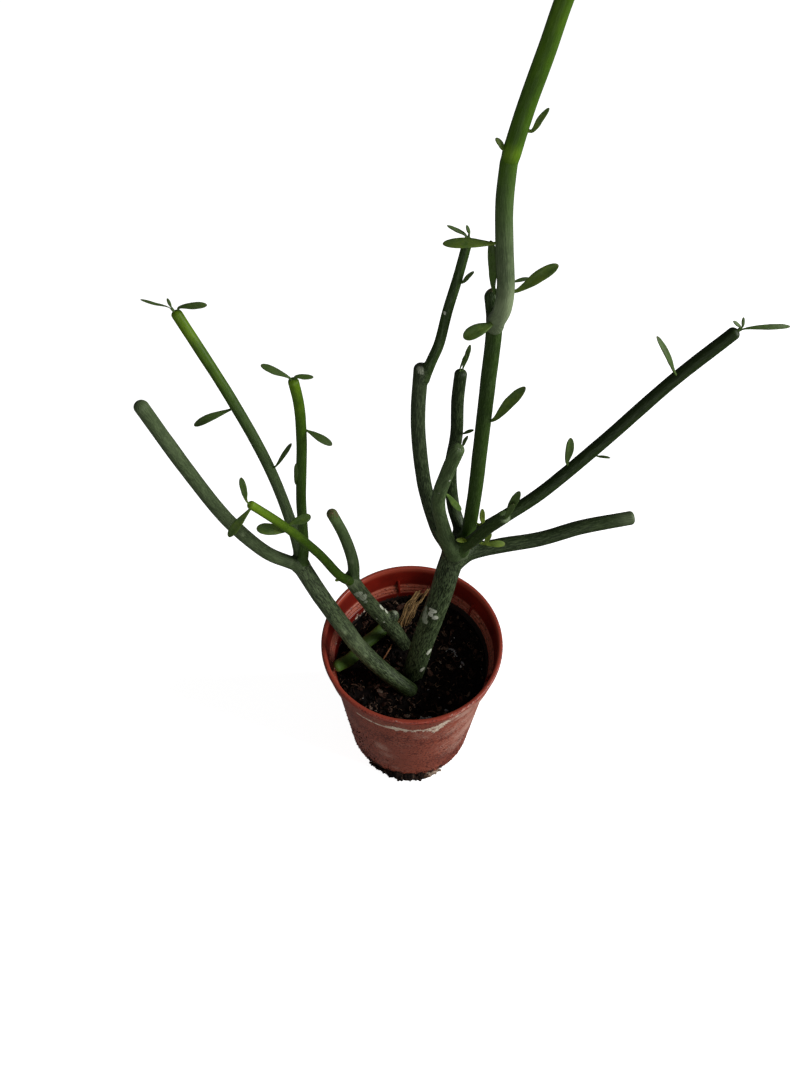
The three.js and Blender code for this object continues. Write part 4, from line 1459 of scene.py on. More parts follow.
    def _wear_and_painted_light(self, points: np.ndarray) -> dict[str, np.ndarray]:
        """What the plastic's finish needs to know: where the inner wall, the lip, the ledge's edges, dirt and
        painted light are.

        A point is inside where it is nearer to the axis than the middle of the wall. A band of clinging soil
        thins out upwards from the soil, which rises a little to the back and right; where it reaches higher
        on the shaded right it is also painted shade. Pale dirt lies unevenly, least on the inside, and its
        spots on the lit right are also a painted sheen.

        Args:
            points: places on the pot, (n, 3).

        Returns:
            (n,) values by name, and the scratches' coordinates, (n, 3).
        """
        radius, height = np.hypot(points[:, 0], points[:, 1]), points[:, 2]
        middle = np.where(height < self.collar_edge, self.wall_outside(height) - 0.9,
                          42.2 + 0.14 * (height - self.collar_level))
        inside = ((radius < middle) & (height > 2.0)).astype(float)
        lip = eased((height - 90.2) / 1.2)
        # a dark band of clinging soil above the soil line; it rises more to the right, where it is also
        # painted shade
        soil_line = self.soil_line + 0.1 * np.maximum(points[:, 1], 0) + 0.16 * np.maximum(points[:, 0], 0)
        clinging_and_shade = inside * (1.1 * np.exp(-np.clip(height - soil_line, 0, None) / 2.0) - 0.1)
        dusty = (0.06 + 0.25 * uneven(points, 18.0, 3, 2)) * (1 - 0.7 * inside) * (1 - lip)
        off_edge = np.min([np.abs(height - level) for level in self.worn_and_lit_levels], axis=0)
        lowest_fainter = np.where(height > 78.4, 1.0, 0.8)
        angle, slant = np.arctan2(points[:, 1], points[:, 0]), math.radians(self.slant)
        around = np.where(points[:, 0] < 0, -angle, angle) * self.foot_radius
        streak = np.stack([math.cos(slant) * around + math.sin(slant) * height,
                           math.cos(slant) * height - math.sin(slant) * around, radius], axis=-1)
        lime = np.maximum(self._settled(points, self.lime), self._settled(points, self.inner_marks, True))
        return {"streak": streak, "inside": inside, "lip": lip,
                # the ledge's step edges, rubbed by wear and painted with a highlight
                "step": inside * eased((0.45 - off_edge) / 0.25) * lowest_fainter,
                "stain_and_shade": np.maximum(clinging_and_shade, self._settled(points, self.stains)),
                "dust_and_sheen": np.maximum(dusty, self._settled(points, self.frost_and_sheen)),
                "lime": lime, "speck": self._settled(points, self.specks)}

    def _paint(self, mesh: bpy.types.Mesh) -> None:
        """Put the pot's wear and painted light into its mesh as values, and smooth all but its sharp corners.

        Args:
            mesh: the finished mesh.
        """
        points = np.empty(len(mesh.vertices) * 3, np.float32)
        mesh.vertices.foreach_get("co", points)
        for name, values in self._wear_and_painted_light(points.reshape(-1, 3).astype(float) / MM).items():
            put_values(mesh, name, values)
        mesh.polygons.foreach_set("use_smooth", np.ones(len(mesh.polygons), bool))
        mesh.set_sharp_from_angle(angle=math.radians(42))
        mesh.update()


# ---- Soil and dead bits ----


@dataclass
class PottingSoil:
    """The soil down to the pot's floor, and the crumbs, fibres, bark and perlite that lie on it."""

    pot: NurseryPot
    plant: Plant
    bottom: float = 3.3
    bottom_radius: float = 30.6
    side_levels: tuple[float, ...] = (5.2, 25.0, 45.0, 62.0)
    level: float = 66.3
    rise_to_back: float = 0.11
    rise_to_right: float = 0.05
    lumps: float = 0.5
    rings: int = 120
    segments: int = 300
    reach: float = 38.2  # how far from the middle bits lie
    crumb_count: int = 1700
    fibre_count: int = 520
    chip_count: int = 110
    perlite_count: int = 14
    seed: int = 20
    # Bits that can be told apart: x, y and half size.
    white_bits: tuple[Point, ...] = (
        (20, 8.2, 0.6), (20.9, 8, 0.7), (21.8, 7.7, 0.6), (22.5, 7.1, 0.75), (22.9, 6.3, 0.7),
        (23, 5.4, 0.65), (22.3, 4.7, 0.6), (21.5, 6.3, 0.5), (23.8, 4.5, 0.5), (18.5, 7.4, 0.6),
        (26.4, 0.8, 1), (27.2, -0.4, 0.8), (25.6, -1.4, 0.7), (17.6, -26.2, 1.2), (22.5, 15, 0.5),
        (4.9, -30, 1), (6.2, -30.3, 1.35), (7.6, -30.3, 1.35), (9, -30, 1.1), (10, -29.6, 0.8))
    tan_chips: tuple[Point, ...] = (
        (-5.9, 0.2, 2), (-7.6, -2.5, 1.9), (-4.6, -3.6, 1.3), (-6, 3.4, 1), (7.5, -29.9, 2.9),
        (17, -27.5, 1.2), (-5, 35.5, 1.7), (-8, 35.6, 0.9), (-2, -29, 2), (17.5, 17, 1.6), (15, 1, 1.4),
        (17.5, 3, 1.2))

    def height_at(self, x: np.ndarray, y: np.ndarray) -> np.ndarray:
        """The soil's height: its slope and slow waves, as its solid has them, and finer crumbs on top.

        Args:
            x: places to the right.
            y: places to the back, of the same shape.

        Returns:
            The heights there.
        """
        broad = np.sin(x * 0.41 + 1.3) * np.cos(y * 0.37 - 0.6) + 0.6 * np.sin(x * 0.83 - y * 0.71 + 2.1)
        slope = self.rise_to_back * np.maximum(y, 0) + self.rise_to_right * np.maximum(x, 0)
        flat = np.stack([x, y, np.zeros_like(x)], axis=-1).reshape(-1, 3)
        crumbs = 0.55 * uneven(flat, 4.2, self.seed, 3) + 0.22 * uneven(flat, 1.3, self.seed + 1, 2)
        return self.level + slope + self.lumps * broad + crumbs.reshape(x.shape)

    def body(self) -> Surface:
        """The soil's closed body: a round sheet of rings for its top, then its side down to the floor.

        Returns:
            The surface with the value tone.
        """
        angle = np.arange(self.segments) * 2 * np.pi / self.segments
        edge = self.pot.wall_inside(self.level) - 0.1
        radius = edge * (np.arange(1, self.rings + 1) / self.rings)[::-1]
        x, y = radius[:, None] * np.cos(angle), radius[:, None] * np.sin(angle)
        z = self.height_at(x, y)
        spread = (self.pot.wall_inside(z[0]) - 0.12) / edge
        x[0], y[0] = x[0] * spread, y[0] * spread
        sides = [(self.pot.wall_inside(level) - 0.3, level) for level in self.side_levels]
        lower = [around(ring, angle, level) for ring, level in [(self.bottom_radius, self.bottom), *sides]]
        rings = np.concatenate([np.array(lower), np.stack([x, y, z], axis=-1)])
        centre = float(self.height_at(np.zeros(1), np.zeros(1))[0])
        points = np.vstack([[0.0, 0.0, self.bottom], rings.reshape(-1, 3), [0.0, 0.0, centre]])
        return Surface(points, ring_faces(len(rings), self.segments), {"tone": np.full(len(points), 0.25)})

    def _free_places(self, random: np.random.Generator, count: int, margin: float) -> np.ndarray:
        """Random places on the soil that stay clear of the stems.

        Args:
            random: the source of randomness.
            count: how many to try.
            margin: how far they keep from the stems' skins.

        Returns:
            (n, 3) places, n at most count.
        """
        angle = random.uniform(0, 2 * np.pi, count)
        radius = self.reach * np.sqrt(random.uniform(0, 1, count))
        x, y = radius * np.cos(angle), radius * np.sin(angle)
        places = np.stack([x, y, self.height_at(x, y)], axis=-1)
        free = np.ones(count, bool)
        for limb in self.plant.limbs.values():
            if limb.centres[:, 2].min() < 80:
                free &= limb.distance(places)[0] > margin
        return places[free]

    def _lying(self, random: np.random.Generator, count: int, margin: float, sizes: tuple[float, float],
               named: Sequence[Point]) -> tuple[np.ndarray, np.ndarray]:
        """Places and half sizes of bits: first those at random, then those that can be told apart.

        Args:
            random: the source of randomness.
            count: how many random ones to try.
            margin: how far they keep from the stems' skins.
            sizes: their least and largest half size.
            named: those that can be told apart.

        Returns:
            (n, 3) places and (n,) half sizes.
        """
        places = self._free_places(random, count, margin)
        size = random.uniform(*sizes, len(places))
        x, y, named_size = np.array(named).T
        places = np.vstack([places, np.stack([x, y, self.height_at(x, y)], axis=-1)])
        return places, np.concatenate([size, named_size])

    @staticmethod
    def _keep_in(places: np.ndarray, reach: Number) -> None:
        """Move places that are further from the middle than their reach straight in to it."""
        out = np.maximum(np.hypot(places[:, 0], places[:, 1]), 1e-6)
        places[:, :2] *= np.minimum(1.0, reach / out)[:, None]

    def crumbs(self) -> Surface:
        """Crumbs of peat, most small and dark, half sunk in the soil.

        Returns:
            The surface with the value tone.
        """
        random = np.random.default_rng(self.seed)
        places = self._free_places(random, self.crumb_count, 0.6)
        size = np.clip(random.lognormal(-0.62, 0.42, len(places)), 0.25, 1.7)
        places[:, 2] += 0.2 * size
        self._keep_in(places, self.reach + 0.2 - size)
        sizes = size[:, None] * random.uniform(0.6, 1.25, (len(places), 3))
        tones = np.clip(random.beta(1.3, 4.0, len(places)), 0, 1)
        return scattered(random, places, sizes, 0.28, 0.9, tones)

    def chips(self) -> Surface:
        """Flat bits of bark and dry skin, the named ones where they lie and the rest at random.

        Returns:
            The surface with the value tone.
        """
        random = np.random.default_rng(self.seed + 1)
        places, size = self._lying(random, self.chip_count, 1.5, (0.8, 2.6), self.tan_chips)
        places[:, 2] += 0.35
        self._keep_in(places, self.reach - 0.4 - size)
        count, named = len(size), len(self.tan_chips)
        sizes = size[:, None] * np.stack([np.ones(count), random.uniform(0.35, 0.7, count),
                                          random.uniform(0.12, 0.25, count)], axis=-1)
        tones = np.concatenate([random.beta(1.7, 2.2, count - named), np.full(named, 0.8)])
        return scattered(random, places, sizes, 0.22, 0.3, tones)

    def perlite(self) -> Surface:
        """White grains, the named ones where they lie and the rest at random.

        Returns:
            The surface with the value tone.
        """
        random = np.random.default_rng(self.seed + 2)
        places, size = self._lying(random, self.perlite_count, 1.0, (0.22, 0.5), self.white_bits)
        places[:, 2] += 0.45 * size
        self._keep_in(places, self.reach - 0.2 - size)
        sizes = size[:, None] * random.uniform(0.65, 1.1, (len(size), 3))
        return scattered(random, places, sizes, 0.3, 1.0, random.uniform(0.2, 1.0, len(size)))

    def fibres(self) -> Surface:
        """Curled flakes and fibres that lie on the soil: each a flat five-sided thread of five rings.

        Returns:
            The surface with the value tone.
        """
        random = np.random.default_rng(self.seed + 3)
        knots, across = np.array([-1.0, 0.0, 1.0]), np.linspace(-1, 1, 7)
        threads = []
        for x, y, _ in self._free_places(random, self.fibre_count, 2.0):
            way, bend = random.uniform(0, 2 * np.pi), random.uniform(-1.5, 1.5)
            steps, turn = random.uniform(0.7, 2.6) * knots, way + bend * knots
            points = np.stack([x + steps * np.cos(turn), y + steps * np.sin(turn), knots], axis=-1)
            self._keep_in(points, self.reach - 0.3)
            points[:, 2] = self.height_at(points[:, 0], points[:, 1]) + 0.35 + random.uniform(0, 0.9, 3)
            line = Spine(points)
            full = random.uniform(0.13, 0.42) * (1 - 0.6 * np.abs(across) ** 3)
            lengths = np.linspace(0, line.length, len(across))
            thread = swept(line, lengths, full, np.minimum(0.6 * full, 0.14), 5, UPWARDS)
            thread.values = {"tone": np.full(len(thread.points), random.beta(2.0, 2.2))}
            threads.append(thread)
        return Surface.joined(threads)

    def make(self) -> None:
        """Make the soil and what lies on it, in place of its solid."""
        peat = Earth("peat", ((0, (9, 7, 6)), (0.3, (26, 18, 15)), (0.7, (60, 42, 33)), (1, (112, 84, 66))))
        bark = Earth("bark_chips", ((0, (42, 26, 21)), (0.5, (106, 74, 60)), (1, (186, 164, 144))), 0.5, 0.15)
        grains = Earth("perlite", ((0, (164, 168, 182)), (1, (240, 240, 236))), 0.3, 0.1)
        roots = Earth("root_fibres", ((0, (32, 23, 19)), (0.5, (90, 66, 54)), (1, (148, 122, 100))), 0.4, 0.1)
        soil = peat.material()
        for name, surface, material in (
                ("soil_body", self.body(), soil), ("soil_crumbs", self.crumbs(), soil),
                ("soil_chips", self.chips(), bark.material()),
                ("soil_perlite", self.perlite(), grains.material()),
                ("soil_fibres", self.fibres(), roots.material())):
            make_piece(name, surface, material, "soil", "soil")


@dataclass
class DryStalk:
    """A dead stalk that has split into strips, and the twig that lies beside it."""

    root: Point = (-4.2, 22.5, 63.0)
    strips: tuple[tuple[Point, ...], ...] = (
        ((-6.6, 21, 73), (-4.4, 21, 82.2), (-2.4, 21.5, 90.8), (0.3, 22, 95.5), (3.2, 22, 103.6)),
        ((-4.6, 21.5, 72), (-2.8, 21.5, 81), (-0.6, 21.5, 89), (2, 22.5, 95.5), (4.6, 22.5, 100.6)),
        ((-3.6, 22, 70), (-1.2, 22, 81), (1, 22.5, 87), (2.4, 22, 94)),
        ((-1.8, 23, 71.5), (0.4, 23, 78.2), (2.4, 24, 86.2), (4.6, 24.5, 90), (6.6, 25, 95.6),
         (8.7, 25.5, 100.4)))
    splinters: int = 3  # in each strip
    splinter_gap: float = 0.62
    wander: float = 0.13  # how far a splinter strays from its strip
    twig: tuple[Point, ...] = ((-15, 2, 67.5), (-12.5, 6, 68.5), (-10, 11, 69))
    twig_half_width: float = 0.5
    seed: int = 51

    def _splinter(self, random: np.random.Generator, strip: Sequence[Point], number: int,
                  made: int) -> Surface:
        """One splinter of a strip: it tapers to its tip, and its edges are a little uneven.

        Args:
            random: the source of randomness.
            strip: the strip's course.
            number: its place in the strip.
            made: how many splinters there are already, which sets its fibres apart from theirs.

        Returns:
            The surface with the values grain and tone.
        """
        aside = (number - (self.splinters - 1) / 2) * self.splinter_gap
        points = np.array(strip) + (random.normal(0, self.wander, (len(strip), 3)) + [aside, 0.0, 0.0])
        points[-1] += (points[-2] - points[-1]) * random.uniform(0.0, 0.16)
        line = Spine(np.vstack([self.root, points]))
        share = np.linspace(0, 1, 60)
        width = random.uniform(0.38, 0.6) * (1 - 0.45 * share) * np.minimum(1, (1.02 - share) / 0.04)
        depth = width * random.uniform(0.5, 0.85)
        splinter = swept(line, share * line.length, np.maximum(width, 0.03), np.maximum(depth, 0.03), 10,
                         FORWARDS, 0.0, 0.8)
        relief = 0.09 * uneven(splinter.values["grain"] * np.array([1.5, 1.5, 0.3]), 0.8, 60 + number, 2)
        splinter.swell(relief)
        splinter.values["grain"][:, 0] += 9.0 * made
        splinter.values["tone"] = np.full(len(splinter.points), random.uniform(0.2, 1.0))
        return splinter

    def make(self) -> None:
        """Make the stalk's splinters, which run side by side in each strip, and the twig."""
        random = np.random.default_rng(self.seed)
        splinters: list[Surface] = []
        for strip in self.strips:
            for number in range(self.splinters):
                splinters.append(self._splinter(random, strip, number, len(splinters)))
        straw = Straw("dry_straw").material()
        make_piece("dry_stalk_splinters", Surface.joined(splinters), straw, "straw", "dry_stalk")
        line = Spine(self.twig)
        share = np.linspace(0, 1, 50)
        ends = np.minimum(1, np.minimum(share + 0.01, 1.01 - share) / 0.05)
        width = self.twig_half_width * (1 - 0.35 * share) * ends
        twig = swept(line, share * line.length, width, width * 0.85, 16, UPWARDS)
        twig.swell(0.1 * uneven(twig.points, 1.4, 71, 2))
        twig.values["tone"] = np.full(len(twig.points), 0.6)
        skin = Straw("twig_skin", (190, 134, 92), (96, 60, 38)).material()
        make_piece("soil_twig_skin", twig, skin, "straw", "soil_twig")


@dataclass
class FootCrust:
    """Dried soil caked round the front of the pot's foot, lying on the ground against the wall."""

    pot: NurseryPot
    # Angle in degrees, half width, half height, height of the middle and tone, from left to right.
    course: tuple[tuple[float, float, float, float, float], ...] = (
        (230, 0.5, 0.8, 1.6, 0.2), (238, 0.9, 1.5, 2.2, 0.15), (249, 1.3, 2, 2.2, 0.2),
        (256, 2.5, 3, 2.6, 0.15), (272, 3, 2.8, 2.3, 0.3), (282, 2.3, 2.2, 1.9, 0.35),
        (289, 1.7, 1.3, 1.2, 0.75), (300, 0.7, 0.9, 1, 0.9))
    radius: float = 34.6
    crumb_count: int = 130
    wall_crumb_count: int = 420
    seed: int = 80

    def wall_crumbs(self) -> Surface:
        """Specks of soil that stick to the wall: half on its left, fewer on its right, the rest at the foot.

        Returns:
            The surface with the value tone.
        """
        random = np.random.default_rng(self.seed + 1)
        count = self.wall_crumb_count
        group = random.uniform(size=count)
        left, right = random.normal(222, 13, count), random.normal(318, 15, count)
        degrees = np.select([group < 0.5, group < 0.65], [left, right], random.uniform(232, 302, count))
        height = 1.5 + np.where(group < 0.65, 44.0, 7.0) * random.uniform(size=count) ** 2.0
        radius, turn = self.pot.wall_outside(height), np.radians(degrees)
        places = around(radius, turn, height)
        size = random.uniform(0.12, 0.42, count)
        tones = random.beta(1.2, 3.0, count)
        sizes = size[:, None] * random.uniform(0.7, 1.3, (count, 3))
        return scattered(random, places, sizes, 0.15, 1.0, tones)

    def rim(self) -> Surface:
        """The caked rim: a lumpy rod round the foot, thicker and darker where its course says so.

        Returns:
            The surface with the values along, the course's tone, and tone, its uneven one.
        """
        degrees, half_width, half_height, middle, tone = np.array(self.course).T
        steps = np.linspace(degrees[0], degrees[-1], 40)
        angle = np.radians(steps)
        level = np.interp(steps, degrees, middle) + 0.3 * np.sin(angle * 31)
        line = Spine(around(self.radius, angle, level))
        share = np.linspace(0, 1, 190)
        ends = np.sqrt(np.clip(np.minimum(share, 1 - share) / 0.04, 0, 1))
        lump = 0.9 + 0.16 * np.sin(share * 29) * np.sin(share * 71 + 1)
        at = degrees[0] + share * (degrees[-1] - degrees[0])
        rod = swept(line, share * line.length, np.interp(at, degrees, half_width) * ends * lump + 0.01,
                    np.interp(at, degrees, half_height) * ends * lump + 0.01, 40, UPWARDS)
        relief = 0.5 * uneven(rod.points, 3.0, self.seed, 1) + 0.22 * uneven(rod.points, 1.1, self.seed, 2)
        rod.swell(relief)
        along = np.interp(rod.values["grain"][:, 2] / line.length * (degrees[-1] - degrees[0]) + degrees[0],
                          degrees, tone)
        rod.values = {"along": along,
                      "tone": np.clip(along + 0.3 * uneven(rod.points, 1.6, self.seed + 1, 2), 0, 1)}
        return rod

    def make(self) -> None:
        """Make the caked rim and the crumbs on it, in place of its solid, and the specks on the wall.

        What would be in the wall or the ground is pushed out to it.
        """
        random = np.random.default_rng(self.seed)
        rim, count = self.rim(), self.crumb_count
        picked = random.integers(0, len(rim.points), count)
        size = random.uniform(0.25, 0.95, count)
        tones = np.clip(rim.values.pop("along")[picked] + random.uniform(-0.2, 0.45, count), 0, 1)
        sizes = size[:, None] * random.uniform(0.7, 1.2, (count, 3))
        crumbs = scattered(random, rim.points[picked], sizes, 0.12, 1.0, tones)
        material = Earth("caked_soil", ((0, (14, 9, 7)), (0.35, (40, 26, 20)), (0.75, (104, 80, 64)),
                                        (1, (206, 184, 164))), 0.6, 0.25).material()
        for name, surface in (("foot_crust_rim", rim), ("foot_crust_crumbs", crumbs)):
            radius = np.hypot(surface.points[:, 0], surface.points[:, 1])
            surface.points[:, 2] = np.maximum(surface.points[:, 2], 0.02)
            wall = self.pot.wall_outside(np.maximum(surface.points[:, 2], 1.0)) + 0.04
            surface.points[:, :2] *= (np.maximum(radius, wall) / radius)[:, None]
            make_piece(name, surface, material, "crust", "foot_crust")
        dirt = Earth("wall_dirt", ((0, (34, 15, 11)), (0.5, (78, 36, 27)), (1, (150, 104, 84))), 0.4, 0.1)
        make_piece("pot_wall_crumbs", self.wall_crumbs(), dirt.material(), "crust")


# ---- The studio ----


@dataclass
class Studio:
    """The floor, the light and the camera, which looks at the plant as the picture does."""

    floor_side: float = 6000.0
    floor_level: float = -0.05
    camera_place: Point = (-4.1, -205.1, 440.6)
    look_down: float = 52.52  # degrees under the level
    roll: float = 0.72
    focal_length: float = 811.0  # in pixels of the 810 by 1080 picture
    picture_height: float = 1080.0
    sensor: float = 36.0
    world_light: float = 0.08
    lamps: tuple[tuple[str, Point, Point, float, float], ...] = (  # name, place, target, side, watts
        ("key", (1157, -163, 690), (0, 0, 120), 700, 15.5), ("fill", (-120, -950, 200), (0, 0, 60), 900, 2.7))

    def _floor(self) -> None:
        """A plain pale sheet a hair under the foot."""
        shares = ((-0.5, -0.5), (0.5, -0.5), (0.5, 0.5), (-0.5, 0.5))
        corners = np.array([(x * self.floor_side, y * self.floor_side, self.floor_level) for x, y in shares])
        mesh = mesh_of("studio_floor", Surface(corners, [np.array([(0, 1, 2, 3)])]))
        mesh.materials.append(FloorSheet().material())
        floor = put_in_scene("studio_floor", mesh)
        floor.visible_diffuse = floor.visible_glossy = False

    @staticmethod
    def _stand(shown: bpy.types.Object, ways: Sequence[np.ndarray], place: Point) -> None:
        """Stand a lamp or a camera at a place, its right, its top and its back facing the given ways."""
        columns = np.stack([*ways, np.array(place) * MM], axis=1)
        shown.matrix_world = Matrix([*columns.tolist(), [0, 0, 0, 1]])

    def _lamp(self, name: str, place: Point, target: Point, side: float, watts: float) -> None:
        """A square soft lamp that shines from a place at a target.

        Args:
            name: its name.
            place: where it hangs.
            target: what it shines at.
            side: its side.
            watts: its power.
        """
        light = bpy.data.lights.new(name, "AREA")
        light.shape, light.size, light.energy = "SQUARE", side * MM, watts
        towards = np.array(target) - np.array(place)
        back = -towards / np.linalg.norm(towards)
        side_way = unit(np.cross(UPWARDS, back))
        self._stand(put_in_scene(name, light), (side_way, np.cross(back, side_way), back), place)

    def _camera(self) -> None:
        """The camera: its right, up and back directions from how far it looks down and how it is rolled."""
        down, roll = math.radians(self.look_down), math.radians(self.roll)
        ahead = np.array([0.0, math.cos(down), -math.sin(down)])
        level_right = np.array([1.0, 0.0, 0.0])
        level_up = np.cross(level_right, ahead)
        right = math.cos(roll) * level_right + math.sin(roll) * level_up
        up = -math.sin(roll) * level_right + math.cos(roll) * level_up
        lens = bpy.data.cameras.new("camera")
        lens.sensor_fit, lens.sensor_width = "AUTO", self.sensor
        lens.lens = self.focal_length / self.picture_height * self.sensor
        lens.clip_start, lens.clip_end = 0.01, 50.0
        bpy.context.scene.camera = put_in_scene("camera", lens)
        self._stand(bpy.context.scene.camera, (right, up, -ahead), self.camera_place)

    def make(self) -> None:
        """Make a faint even light, the floor, a soft high lamp, a low weak one and the camera."""
        world = bpy.data.worlds.new("studio")
        world.use_nodes = True
        background = world.node_tree.nodes["Background"]
        background.inputs["Color"].default_value = (1.0, 1.0, 1.0, 1.0)
        background.inputs["Strength"].default_value = self.world_light
        bpy.context.scene.world = world
        bpy.context.scene.view_settings.view_transform = "Standard"
        self._floor()
        for lamp in self.lamps:
            self._lamp(*lamp)
        self._camera()


# ---- The plant's stems ----

SAP, GREY, BLOOM, BROWN, FRESH = Mark

